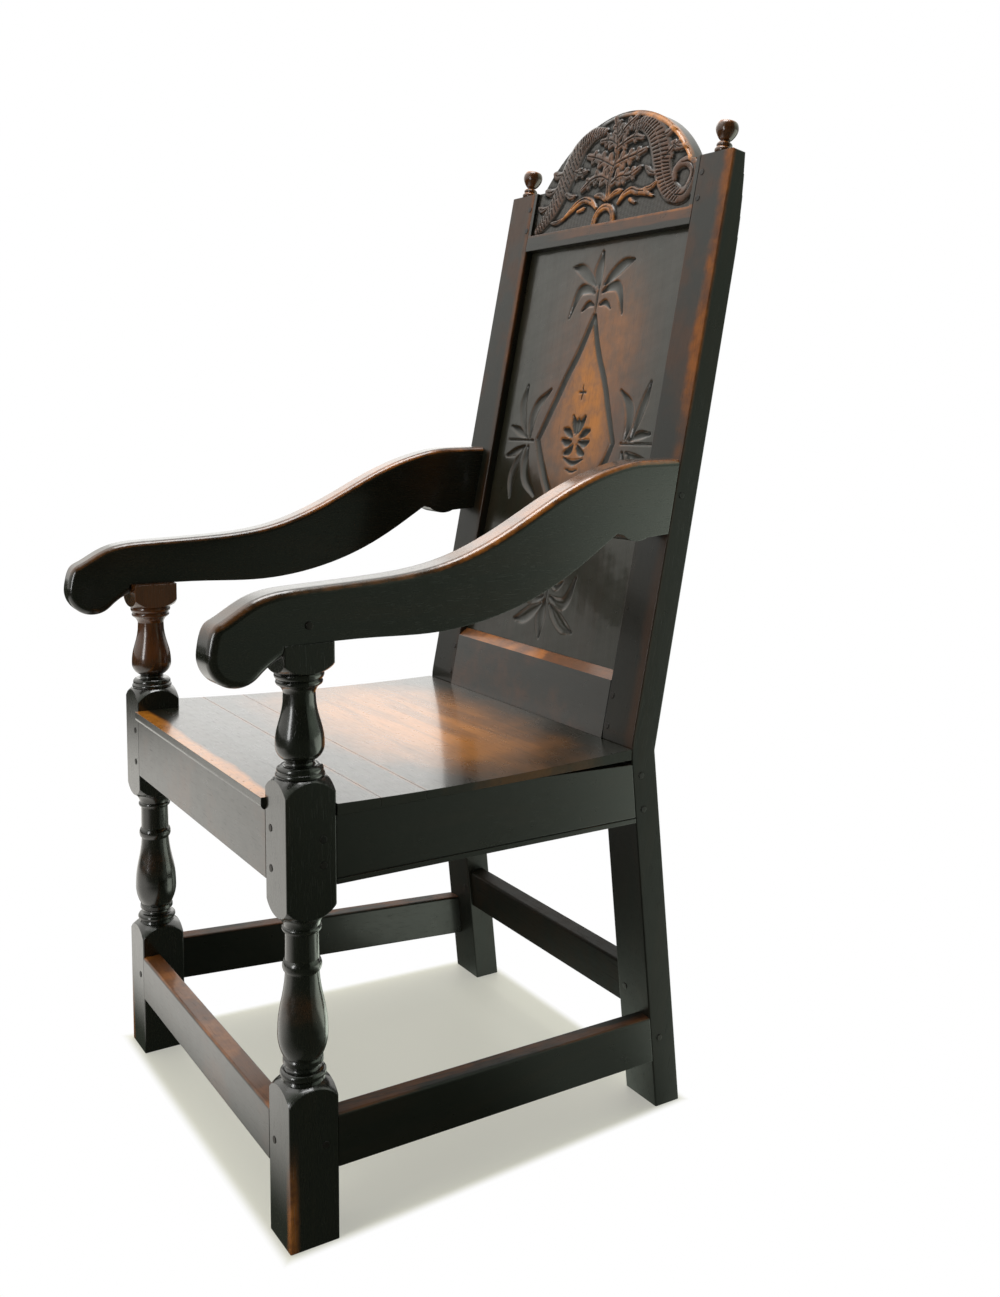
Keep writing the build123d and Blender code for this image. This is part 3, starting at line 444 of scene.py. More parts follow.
            # the rounded arrises and the top, most where the arm rises to the stile
            crest = step(upward, 0.1, 0.95)
            arris = step(upward, 0.2, 0.5) * step(upward, 0.97, 0.75)
            rising = 0.25 + step(depth + drift * 0.2, -0.2, 0.1) * 0.75
            high = step(depth, -0.15, -0.02) * step(depth, 0.13, 0.05)
            bare = (arris * broken * 0.5 + crest * (0.15 + broken * 0.35) * high) * rising
            return (crest * (0.25 + high * 0.3) + arris * (0.3 + broken * 0.5)) * rising, bare, 0.0
        if self.worn is Worn.KNOBS:
            return 0.3 + top * 0.6 + broken * 0.2, top * (0.3 + broken * 0.6), 0.0
        if self.worn is Worn.SIDE_RAILS:
            streak = top * step(figure * 0.6 + clouds * 0.4, 0.44, 0.58)
            return streak * 0.55, streak * broken * 0.1, top
        if self.worn is Worn.CREST:
            # the line under the carved field, the plain band, and the arch's arris on the sitter's left
            up = (height - BACK.knee_z) / math.cos(BACK.rake)
            line = step(abs(up - FIELD_FOOT), 0.0032, 0.001) * (0.3 + 0.7 * step(across, -0.06, 0.03))
            low = step(abs(up - BAND_MIDDLE) + drift * 0.006, 0.007, 0.004) * step(across, -0.14, -0.05)
            radius = (across * across + (up - ARCH_CENTRE) * (up - ARCH_CENTRE)) ** 0.5
            rim = step(radius, 0.179, 0.1835) * step(up, 0.675, 0.69) * step(across, -0.02, 0.03)
            front = step(ahead, POST_FACE + 0.012, POST_FACE + 0.003)
            rubbed = line * 0.7 + rim * front * 0.7 + low * (0.35 + broken * 0.3)
            return rubbed, (line * 0.5 + rim * front * 0.9) * broken, 0.0
        if self.worn is Worn.CROSS_RAILS:
            rubbed = step(clouds * 0.8 + spots * 0.2, 0.48, 0.68) * 0.35 + top * (0.4 + broken * 0.4)
            return rubbed, top * (0.15 + 0.6 * step(clouds, 0.45, 0.6)), top * 0.6
        return broken * 0.05, 0.0, 0.4


FINISHES = {
    "oak_upright": Oak(Grain.UPRIGHT, Worn.TURNINGS, show=0.2, roughness=0.22, coat=0.9),
    "oak_post": Oak(Grain.UP_BACK, Worn.POSTS, specular=0.38),
    "oak_cross_rail": Oak(Grain.ACROSS, Worn.CROSS_RAILS, coat=0.85),
    # a duller, darker copy of the oak for the rear rails in the shade under the seat: painted shade
    "oak_shaded_rail": Oak(Grain.ACROSS, Worn.HEADS, show=0.1, roughness=0.4, coat=0.0, specular=0.14),
    "oak_side_rail": Oak(Grain.FRONT_TO_BACK, Worn.SIDE_RAILS),
    "oak_crest": Oak(Grain.ACROSS, Worn.CREST, dark=srgb(24, 25, 18)),
    "oak_carving": Oak(Grain.ACROSS, Worn.CARVING, dark=srgb(30, 24, 12), bare=srgb(214, 134, 50), show=0.4,
                       roughness=0.25, coat=0.3, specular=0.38),
    "oak_panel": Oak(Grain.UP_BACK, Worn.PANEL, dark=srgb(40, 40, 30), bare=srgb(194, 120, 34), show=0.4,
                     coat=0.5),
    "oak_seat": Oak(Grain.ACROSS, Worn.SEAT, dark=srgb(26, 28, 18), brown=srgb(48, 34, 22),
                    bare=srgb(226, 142, 42), show=0.5, roughness=0.26, coat=0.8, wave=0.08 * MM,
                    dent=0.02 * MM, relief=0.4),
    "oak_arm": Oak(Grain.FRONT_TO_BACK, Worn.ARMS, roughness=0.2, coat=0.7, dent=0.05 * MM),
    "oak_finial": Oak(Grain.UP_BACK, Worn.KNOBS, show=0.5, roughness=0.2, coat=0.7),
    "oak_peg": Oak(Grain.UPRIGHT, Worn.HEADS, dark=srgb(14, 13, 10), show=0.2, roughness=0.3, coat=0.1),
}


@cache
def finish(name: str) -> bpy.types.Material:
    """Build a finish of FINISHES when it is first asked for, and give the same one after that."""
    return FINISHES[name].material(name)


# -------- studio
WHITE: Colour = (1.0, 1.0, 1.0)


@dataclass
class Studio:
    """A pale floor, a white surround, soft lamps and the camera."""

    floor_reach: float = 14.0
    floor_drop: float = 0.0004
    floor_colour: Colour = (0.74, 0.73, 0.58)
    floor_glow: float = 0.36
    rear_narrowing: float = 0.06
    rear_feet: float = 0.235
    surround_light: float = 0.7
    lamp_target: tuple[float, float, float] = (0, 0, 0.6)
    camera_place: tuple[float, float, float] = (1354.663 * MM, LEG_FRONT - 455.435 * MM, 806.511 * MM)
    yaw: float = -1.0071789
    pitch: float = 0.0938200
    roll: float = 0.0045048
    sensor_width: float = 36.0
    focal_pixels: float = 1312.302
    centre_pixels: tuple[float, float] = (508.360, 525.878)
    image_pixels: tuple[int, int] = (1000, 1297)

    def build(self) -> None:
        """Set up everything around the chair."""
        self.add_camera()
        self.add_floor()
        self.add_surround()
        self.add_lamps()
        bpy.context.scene.view_settings.view_transform = "Standard"

    def add_camera(self) -> None:
        """Place the camera from its direction and focal length."""
        data = bpy.data.cameras.new("camera")
        width, height = self.image_pixels
        data.sensor_width = self.sensor_width
        data.lens = self.focal_pixels / height * self.sensor_width
        data.shift_x = (width / 2 - self.centre_pixels[0]) / height
        data.shift_y = (self.centre_pixels[1] - height / 2) / height
        camera = bpy.data.objects.new("camera", data)
        bpy.context.scene.collection.objects.link(camera)
        forward = Vector((
            math.sin(self.yaw) * math.cos(self.pitch),
            math.cos(self.yaw) * math.cos(self.pitch),
            -math.sin(self.pitch),
        ))
        level = Vector((math.cos(self.yaw), -math.sin(self.yaw), 0))
        upward = level.cross(forward)
        right = math.cos(self.roll) * level + math.sin(self.roll) * upward
        up = math.cos(self.roll) * upward - math.sin(self.roll) * level
        turn = Matrix((right, up, -forward)).transposed().to_4x4()
        camera.matrix_world = Matrix.Translation(self.camera_place) @ turn
        bpy.context.scene.camera = camera

    def add_floor(self) -> None:
        """Lay a pale floor under the chair."""
        shape = bmesh.new()
        bmesh.ops.create_grid(shape, x_segments=1, y_segments=1, size=self.floor_reach)
        bmesh.ops.translate(shape, verts=shape.verts, vec=(0, 0, -self.floor_drop))
        mesh = bpy.data.meshes.new("floor")
        shape.to_mesh(mesh)
        shape.free()
        mesh.materials.append(self.pale_floor())
        floor = bpy.data.objects.new("floor", mesh)
        bpy.context.scene.collection.objects.link(floor)

    def pale_floor(self) -> bpy.types.Material:
        """Make the floor's finish, which turns white just outside the chair's feet, and the painted
        reflection that glossy rays see in it.

        Returns:
            The material.
        """
        bench, material = ShaderBench.for_material("pale_floor")
        step = bench.step
        across, depth, _ = bench.axes(bench.node("TexCoord").outputs["Object"])
        distance = (across * across + depth * depth + 0.01) ** 0.5
        rearward = depth / distance
        rays = bench.node("LightPath").outputs
        # to the camera: the floor's own colour inside the four feet, and white around them
        beside = abs(across) + (depth - LEG_FRONT) * self.rear_narrowing - LEG_SIDE
        beyond = bench.higher(beside, bench.higher(LEG_FRONT - depth, depth - self.rear_feet))
        outside = step(beyond, -0.002, 0.014)
        fade = self.floor_glow + outside * (1.0 - self.floor_glow)
        plain = bench.node("BsdfPrincipled", {"Base Color": self.floor_colour, "Roughness": 0.55})
        cream = bench.glow(bench.blend(outside, (1.0, 0.995, 0.92), WHITE))
        seen = bench.mix(fade * Wire(bench, rays["Is Camera Ray"]), plain.outputs[0], cream)
        # painted reflection for glossy rays: dim, and darkest in front and at the sitter's right, with a lit
        # part behind
        gloom = bench.higher(step(across, 0.1, -0.65), step(rearward, 0.42, 0.08) * 0.8)
        dim = bench.glow(bench.blend(gloom, (0.85, 1.0, 0.8), (0.12, 0.14, 0.1)), 0.2)
        close = step(distance, 2.5, 1.6) * step(rearward, 0.25, 0.45) * 0.09
        lit = step(rearward, 0.6, 0.78) * step(across, -0.6, 0.2) + close
        behind = bench.mix(lit, dim, bench.glow((0.9, 1.0, 0.85), 1.7))
        # and painted white before the chair and out on the sitter's right, but not close beside or under it,
        # where painted shade of the chair falls
        shade = step(depth, -0.33, -0.27) * step(across, -1.0, -0.75)
        white = step(across, 0.5, -0.2) * (1.0 - shade) * step(distance, 2.4, 1.5)
        mirrored = bench.mix(white, behind, bench.glow((1.0, 0.975, 0.91)))
        bench.end("OutputMaterial", bench.mix(rays["Is Glossy Ray"], seen, mirrored))
        return material

    def add_surround(self) -> None:
        """Make the world white to the camera, and bright on the sitter's right and behind."""
        world = bpy.data.worlds.new("surround")
        bpy.context.scene.world = world
        world.use_nodes = True
        bench = ShaderBench(world.node_tree)
        across, depth, height = bench.axes(bench.node("TexCoord").outputs["Generated"])
        open_side = bench.step(across, 0.45, -0.3)
        bright = bench.higher(bench.step(depth, 0.4, 0.7) * 0.75, open_side)
        level = 0.04 + bright * (0.6 + bench.step(height, 0.0, 0.5) * 0.6)
        rays = bench.node("LightPath").outputs
        camera = Wire(bench, rays["Is Camera Ray"])
        diffuse = Wire(bench, rays["Is Diffuse Ray"])
        softer = level * (1.0 - diffuse * (1.0 - self.surround_light))
        colour = bench.blend(open_side, (0.84, 1.0, 0.8), (1.0, 0.99, 0.94))
        background = bench.node("Background", {
            "Color": bench.blend(camera, colour, WHITE), "Strength": camera + (1.0 - camera) * softer})
        bench.end("OutputWorld", background.outputs[0])

    def add_lamps(self) -> None:
        """Hang soft lamps above and behind the sitter's right, and a window before the chair."""
        lamps = {
            "rear_window": ((-2.7, 1.25, 1.15), (2.2, 1.5), 5.8),
            "high_window": ((-2.2, 0.7, 2.3), (1.5, 0.7), 3.5),
            "skylight": ((0.0, 0.1, 3.0), (1.1, 1.2), 32.0),
            "front_window": ((0.75, -2.5, 1.1), (0.5, 1.3), 16.0),
            "ceiling": ((-0.6, -0.4, 3.2), (2.4, 2.4), 10.0),
        }
        for name, (place, size, watts) in lamps.items():
            data = bpy.data.lights.new(name, "AREA")
            data.shape = "RECTANGLE"
            data.size, data.size_y = size
            data.energy = watts
            lamp = bpy.data.objects.new(name, data)
            lamp.location = place
            aim = Vector(self.lamp_target) - Vector(place)
            lamp.rotation_euler = aim.to_track_quat("-Z", "Y").to_euler()
            lamp.visible_camera = False
            bpy.context.scene.collection.objects.link(lamp)


# -------- carving
# how far around a hollow its rim is read and how far apart a band's nicks are, in millimetres
HOLLOW_REACH, NICK_SPACING = 5.0, 4.6
SHARP_ANGLE = math.radians(50)


class Cut(Enum):
    """How a carver's stroke changes the wood."""

    ROUND = "raised and rounded"
    GOUGE = "cut with a gouge"


@dataclass(frozen=True)
class Stroke:
    """One stroke of the carving, along a smooth line, in millimetres.

    Attributes:
        points: The line's points, across and up.
        widths: Half-width at each point.
        height: How high it stands or how deep it goes.
        cut: What the stroke does.
    """

    points: tuple[Point, ...]
    widths: tuple[float, ...]
    height: float
    cut: Cut = Cut.GOUGE

    def placed(self, up: float = 0.0, sideways: int = 1, upright: int = 1) -> "Stroke":
        """Give the stroke mirrored where sideways or upright is -1, then moved up."""
        return replace(self, points=tuple((x * sideways, y * upright + up) for x, y in self.points))

    def line(self, per_span: int = 7) -> tuple[np.ndarray, np.ndarray]:
        """Run a smooth line through the points.

        Args:
            per_span: Steps between two points.

        Returns:
            Points along the line and the half-width at each.
        """
        ends = np.array([(x, y, w) for (x, y), w in zip(self.points, self.widths)], float)
        padded = np.vstack((2 * ends[0] - ends[1], ends, 2 * ends[-1] - ends[-2]))
        run = []
        for a, b, c, d in zip(padded, padded[1:], padded[2:], padded[3:]):
            for t in np.linspace(0, 1, per_span, endpoint=False):
                run.append(0.5 * (2 * b + (c - a) * t + (2 * a - 5 * b + 4 * c - d) * t**2
                                  + (3 * b - a - 3 * c + d) * t**3))
        run.append(ends[-1])
        run = np.array(run)
        return run[:, :2], np.maximum(run[:, 2], 0.0)

    def press(self, places: np.ndarray, raised: np.ndarray, cut: np.ndarray) -> None:
        """Add the stroke to the heights of the carving.

        Args:
            places: Places across and up, one per row.
            raised: Height of what stands up at each, changed in place.
            cut: Depth of what is cut away at each, changed in place.
        """
        run, widths = self.line()
        margin = widths.max() + 1
        low, high = run.min(0) - margin, run.max(0) + margin
        near = np.flatnonzero(((places >= low) & (places <= high)).all(1))
        here = places[near]
        # how far inside the stroke: 1 on its line, 0 at its edge
        inside = np.full(len(here), -np.inf)
        for start, end, w0, w1 in zip(run, run[1:], widths, widths[1:]):
            along = end - start
            t = np.clip((here - start) @ along / max(float(along @ along), 1e-9), 0, 1)
            gap = np.linalg.norm(here - start - t[:, None] * along, axis=1)
            inside = np.maximum(inside, 1 - gap / np.maximum(w0 + (w1 - w0) * t, 0.05))
        near, inside = near[inside > 0], inside[inside > 0]
        if self.cut is Cut.GOUGE:
            cut[near] = np.maximum(cut[near], self.height * (1 - (1 - inside) ** 2))
        else:
            raised[near] = np.maximum(raised[near], self.height * np.sqrt(1 - (1 - inside) ** 2.6))


def leaf(root: Point, tip: Point, width: float, bend: float, height: float = 3.6) -> list[Stroke]:
    """Shape a raised leaf with a vein.

    Args:
        root: Where it starts.
        tip: Where it ends.
        width: Half-width at its widest.
        bend: Sideways bow of its line.
        height: Height of its back.

    Returns:
        Its strokes.
    """
    start, end = Vector(root), Vector(tip)
    side = Vector((start.y - end.y, end.x - start.x)).normalized() * bend
    middle = start.lerp(end, 0.5) + side
    late = start.lerp(end, 0.8) + side * 0.6
    line = tuple(map(tuple, (start, middle, late, end)))
    vein = tuple(map(tuple, (start.lerp(middle, 0.3), middle, late)))
    return [
        Stroke(line, (width * 0.7, width, width * 0.95, width * 0.5), height, Cut.ROUND),
        Stroke(vein, (0.4, 0.9, 0.4), 1.1),
    ]


def leaves(*rows: tuple[Point, Point, float, float]) -> list[Stroke]:
    """Shape several leaves, each from its root, tip, width and bend."""
    return [stroke for row in rows for stroke in leaf(*row)]


def frond(line: tuple[Point, ...], width: float, lobes: int) -> list[Stroke]:
    """Shape a leaf with lobes along both sides.

    Args:
        line: Its midrib.
        width: Reach of the widest lobe from the midrib.
        lobes: How many lobes stand on each side.

    Returns:
        Its strokes.
    """
    rib = Stroke(line, (width * 0.55,) * (len(line) - 1) + (width * 0.4,), 3.7, Cut.ROUND)
    run = rib.line(8)[0]
    made = [rib, Stroke(line, (1.1,) * (len(line) - 1) + (0.5,), 1.3)]
    for lobe in range(lobes):
        at = int((lobe + 0.5) / (lobes + 0.3) * (len(run) - 2))
        along = (run[at + 1] - run[at]) / np.linalg.norm(run[at + 1] - run[at])
        reach = width * (1.0 - 0.4 * lobe / lobes)
        for side in (-1, 1):
            out = np.array((-along[1], along[0])) * side
            tip = run[at] + out * reach * 0.8 + along * reach * 0.6
            made += leaf(tuple(run[at]), tuple(tip), reach * 0.56, -1.5 * side, 3.4)
    return made


def band(line: tuple[Point, ...], widths: tuple[float, ...]) -> list[Stroke]:
    """Shape a raised band with nicks across it and a bare middle.

    Args:
        line: Its middle line.
        widths: Its half-width at each point.

    Returns:
        Its strokes.
    """
    body = Stroke(line, widths, 3.9, Cut.ROUND)
    run, half = body.line(10)
    made, gone = [body], 0.0
    for start, end, width in zip(run, run[1:], half):
        along = end - start
        gone += float(np.linalg.norm(along))
        if gone > NICK_SPACING and width > 5:
            gone = 0.0
            along = along / np.linalg.norm(along)
            side, lean = np.array((-along[1], along[0])), along * width * 0.25
            for near, far in ((-0.62, -0.08), (0.08, 0.62)):
                ends = (tuple(start + side * width * near), tuple(start + side * width * far + lean))
                made.append(Stroke(ends, (0.9, 1.1), 1.7))
    return made


def ripple(places: np.ndarray, length: float, seed: float) -> np.ndarray:
    """Give gentle uneven waves, such as a hand tool leaves.

    Args:
        places: Places across and up, one per row.
        length: Length of a wave, in millimetres.
        seed: Shifts the pattern.

    Returns:
        Values between about -1 and 1.
    """
    x, y = places[:, 0] / length, places[:, 1] / length
    first = np.sin(2.1 * x + 1.3 * y + seed) * np.sin(1.7 * y - 0.9 * x + 2 * seed)
    second = np.sin(4.3 * x - 2.9 * y + 3 * seed) * np.sin(3.7 * y + 2.2 * x + seed)
    return 0.65 * first + 0.35 * second


def sunk(height: np.ndarray, columns: int, reach: int) -> np.ndarray:
    """Measure how far each place lies below the places around it.

    Args:
        height: The surface's height at each point, row by row.
        columns: Points in a row.
        reach: How many points away the neighbours are.

    Returns:
        The depth below their mean.
    """
    rows = height.reshape(-1, columns)
    around = rows
    for axis in (0, 1):
        around = sum(np.roll(around, shift, axis) for shift in range(-reach, reach + 1)) / (2 * reach + 1)
    return (around - rows).ravel()


def smooth(value: np.ndarray, low: float, high: float) -> np.ndarray:
    """Rise smoothly from 0 at low to 1 at high, or fall where low is above high."""
    t = np.clip((value - low) / (high - low), 0, 1)
    return t * t * (3 - 2 * t)


@dataclass
class CarvedSheet:
    """A fine sheet of wood over part of the back, shaped by strokes, with its sizes in millimetres.

    Attributes:
        name: The piece's name.
        oak: Its finish.
        slot: A finish's name; not used.
        half_width: Half of its width.
        low: Its lower edge up the back.
        out: Its face in front of the stiles' face.
        skirt: How far its sides go back.
        spacing: Distance between its points.
        strokes: The carving.
    """

    name: str
    oak: str
    slot: str
    half_width: float
    low: float
    out: float
    skirt: float
    spacing: float
    strokes: list[Stroke] = field(default_factory=list)

    def top(self, across: np.ndarray) -> np.ndarray:
        """Give the sheet's upper edge up the back, at distances across."""
        raise NotImplementedError

    def surface(self, places: np.ndarray, raised: np.ndarray, cut: np.ndarray) -> Surface:
        """Give the height of the carved surface, and the masks that its finish reads."""
        raise NotImplementedError

    def build(self) -> bpy.types.Object:
        """Make the piece.

        Returns:
            The finished object.
        """
        columns = round(2 * self.half_width / self.spacing)
        rows = round((float(self.top(np.zeros(1))[0]) - self.low) / self.spacing)
        shape = bmesh.new()
        bmesh.ops.create_grid(shape, x_segments=columns, y_segments=rows, size=1.0)
        shape.verts.ensure_lookup_table()
        grid = np.array([vertex.co[:2] for vertex in shape.verts])
        across = grid[:, 0] * self.half_width
        up = self.low + (grid[:, 1] + 1) / 2 * (self.top(across) - self.low)
        places = np.column_stack((across, up))
        raised, cut = np.zeros(len(places)), np.zeros(len(places))
        for stroke in self.strokes:
            stroke.press(places, raised, cut)
        height, masks = self.surface(places, raised, cut)
        # how far each point lies below the points around it, which darkens the hollows as painted shade and
        # dulls them
        masks["deep"] = smooth(sunk(height, columns + 1, round(HOLLOW_REACH / self.spacing)), 0.15, 1.3)
        layers = {name: shape.verts.layers.float.new(name) for name in masks}
        for index, vertex in enumerate(shape.verts):
            x, s = places[index]
            vertex.co = BACK.point(x * MM, s * MM, (self.out + height[index]) * MM)
            for name, layer in layers.items():
                vertex[layer] = masks[name][index]
        self.close(shape)
        mesh = bpy.data.meshes.new(self.name)
        shape.to_mesh(mesh)
        shape.free()
        mesh.shade_smooth()
        mesh.set_sharp_from_angle(angle=SHARP_ANGLE)
        mesh.materials.append(finish(self.oak))
        piece = bpy.data.objects.new(self.name, mesh)
        bpy.context.scene.collection.objects.link(piece)
        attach(piece, "root")
        log.info("carved %s: %d strokes, %d faces", self.name, len(self.strokes), len(mesh.polygons))
        return piece

    def close(self, shape: bmesh.types.BMesh) -> None:
        """Give the sheet its sides and a flat back.

        Args:
            shape: The carved grid.
        """
        rim = [edge for edge in shape.edges if edge.is_boundary]
        made = bmesh.ops.extrude_edge_only(shape, edges=rim)["geom"]
        back = BACK.point(0, 0, (self.out - self.skirt) * MM)
        normal = BACK.point(0, 0, 1) - BACK.point(0, 0, 0)
        for item in made:
            if isinstance(item, bmesh.types.BMVert):
                item.co -= normal * (item.co - back).dot(normal)
        loop = [item for item in made if isinstance(item, bmesh.types.BMEdge) and item.is_boundary]
        bmesh.ops.edgeloop_fill(shape, edges=loop)
        bmesh.ops.recalc_face_normals(shape, faces=shape.faces)


@dataclass
class CrestCarving(CarvedSheet):
    """Scrolls and a leafy plant in relief on the sunk ground of the crest rail."""

    name: str = "crest_carving"
    oak: str = "oak_carving"
    slot: str = "oak_crest"
    half_width: float = 165.6
    low: float = 619.0
    out: float = -4.0
    skirt: float = 0.4
    spacing: float = 0.85
    stile_top: float = 678.0
    arch_half: float = 154.0
    arch_rise: float = 83.0

    def __post_init__(self) -> None:
        """Lay out the strokes, in millimetres across and above the plain band."""
        self.strokes = [stroke.placed(up=self.low) for stroke in self.scrolls() + self.plant() + self.foot()]

    def scrolls(self) -> list[Stroke]:
        """Shape the big scroll on each side, and the curl that ends the one on the sitter's left."""
        made = band(((26, 118), (52, 118), (74, 105), (87, 88), (96, 70), (102, 54), (111, 38), (124, 24),
                     (140, 16)), (6, 12, 17, 20, 20, 18, 16, 14, 11))
        made += band(((-30, 122), (-56, 121), (-78, 110), (-92, 92), (-102, 72), (-112, 52), (-124, 33),
                      (-139, 17), (-154, 6)), (6, 12, 17, 20, 20, 18, 16, 12, 7))
        curl = ((134, 18), (150, 17), (160, 29), (162, 44), (152, 55), (138, 56), (127, 48), (129, 38))
        made.append(Stroke(curl, (11, 11, 10, 9, 8.5, 7.5, 6.5, 5), 3.8, Cut.ROUND))
        made.append(Stroke(curl[:6], (1.0, 1.3, 1.4, 1.3, 1.1, 0.6), 1.5))
        made += frond(((100, 66), (114, 76), (126, 84)), 11, 2)
        made += frond(((-88, 78), (-72, 72), (-58, 74)), 9, 2)
        return made + leaves(
            ((88, 96), (112, 104), 7.5, -3), ((112, 84), (140, 76), 5.5, -3),
            ((92, 50), (68, 62), 5.0, 3), ((96, 40), (70, 34), 4.5, 3),
            ((-112, 78), (-134, 82), 7.0, 3), ((-124, 58), (-148, 60), 6.5, 3),
            ((-138, 36), (-158, 38), 5.5, 3), ((-98, 50), (-76, 44), 5.0, -3),
        )

    def plant(self) -> list[Stroke]:
        """Shape the middle stem with its leaves and its bloom."""
        stem = ((-2, 34), (-5, 58), (4, 80), (0, 108))
        made = [Stroke(stem, (6.5, 5.5, 5.0, 4.4), 3.8, Cut.ROUND), Stroke(stem, (1.1, 1.1, 1.1, 0.6), 1.3)]
        for line, width, lobes in (
            (((-4, 54), (-24, 62), (-44, 60), (-62, 50)), 13, 3),
            (((2, 50), (18, 57), (36, 55), (56, 62)), 13, 3),
            (((0, 72), (-18, 80), (-38, 88), (-60, 94)), 14, 3),
            (((4, 74), (22, 78), (40, 80), (62, 84)), 13, 3),
            (((0, 94), (16, 100), (34, 104), (52, 100)), 11, 2),
            (((0, 100), (-16, 108), (-36, 110)), 12, 2),
            (((0, 106), (-4, 120), (-12, 136)), 12, 2),
            (((2, 108), (14, 120), (34, 130)), 12, 2),
        ):
            made += frond(line, width, lobes)
        return made

    def foot(self) -> list[Stroke]:
        """Shape the curled leaves and the small arch at the foot of the plant."""
        arch = tuple((-4 + 20 * math.cos(a), 1 + 20 * math.sin(a)) for a in np.linspace(0, math.pi, 9))
        made = [Stroke(arch, (5.6,) * 9, 3.9, Cut.ROUND), Stroke(arch, (0.9,) * 9, 1.0)]
        for side, curl, tail in (
            (1, ((22, 22), (32, 32), (46, 36), (58, 32), (72, 30), (90, 23)), ((46, 24), (56, 19))),
            (-1, ((24, 22), (36, 31), (52, 36), (66, 33), (78, 26), (96, 15)), ((52, 24), (64, 22))),
        ):
            made += [stroke.placed(sideways=side) for stroke in (
                Stroke(curl, (3, 5, 5.5, 5.5, 5, 2), 3.9, Cut.ROUND),
                Stroke(curl[1:5], (0.8, 1.2, 1.2, 0.6), 1.4).placed(up=1),
                Stroke(tail, (3.5, 2.5), 3.6, Cut.ROUND),
            )]
        return made + leaves(
            ((-6, 30), (-30, 38), 4.8, -3), ((0, 30), (26, 38), 4.8, 3), ((-94, 16), (-122, 13), 4.0, 2))

    def top(self, across: np.ndarray) -> np.ndarray:
        """Follow the arch, and the stiles' tops beside it.

        Args:
            across: Distances across, in millimetres.

        Returns:
            Distance up the back at each.
        """
        radius = (self.arch_half**2 + self.arch_rise**2) / (2 * self.arch_rise)
        centre = self.stile_top + self.arch_rise - radius
        arch = centre + np.sqrt(np.maximum(radius**2 - across**2, 0))
        return np.maximum(arch, self.stile_top) - 0.3

    def surface(self, places: np.ndarray, raised: np.ndarray, cut: np.ndarray) -> Surface:
        """Roughen the ground, and rub the tops of the relief and the border along the arch.

        Args:
            places: Places across and up, one per row.
            raised: Height of what stands up at each.
            cut: Depth of what is cut away at each.

        Returns:
            The height at each place, in millimetres, and the masks.
        """
        across, above = places[:, 0], places[:, 1] - self.low
        inward = self.top(across) - places[:, 1]
        ground = 0.3 + 0.14 * ripple(places, 3.4, 0.7)
        edge = inward * np.where(places[:, 1] > self.stile_top, 1, 9)
        border = 2.6 * smooth(edge, -0.5, 5.0) * smooth(edge, 9.0, 6.5) * smooth(across, -60, -10)
        relief = np.maximum(raised * (1 + 0.06 * ripple(places, 8.0, 2.1)), border)
        height = np.clip(np.maximum(ground, relief) - np.minimum(cut, relief * 0.75), 0.1, 3.95)
        # worn most low in the middle, round the stem, and along the arch on the sitter's left
        tops = smooth(height, 1.8, 3.6) * smooth(cut, 1.4, 0.3)
        low_middle = smooth(above, 46, 30) * smooth(np.abs(across), 112, 84)
        heart = smooth(np.hypot(across - 12, above - 62), 52, 14)
        rim = smooth(inward, 8.0, 5.0) * smooth(across, -5, 35)
        return height, {
            "rubbed": np.clip(tops * (0.6 + 0.35 * low_middle + 0.25 * heart) + rim * 0.6, 0, 1),
            "bare": np.clip(tops * (low_middle * 0.9 + heart * 0.2) + rim, 0, 1),
        }


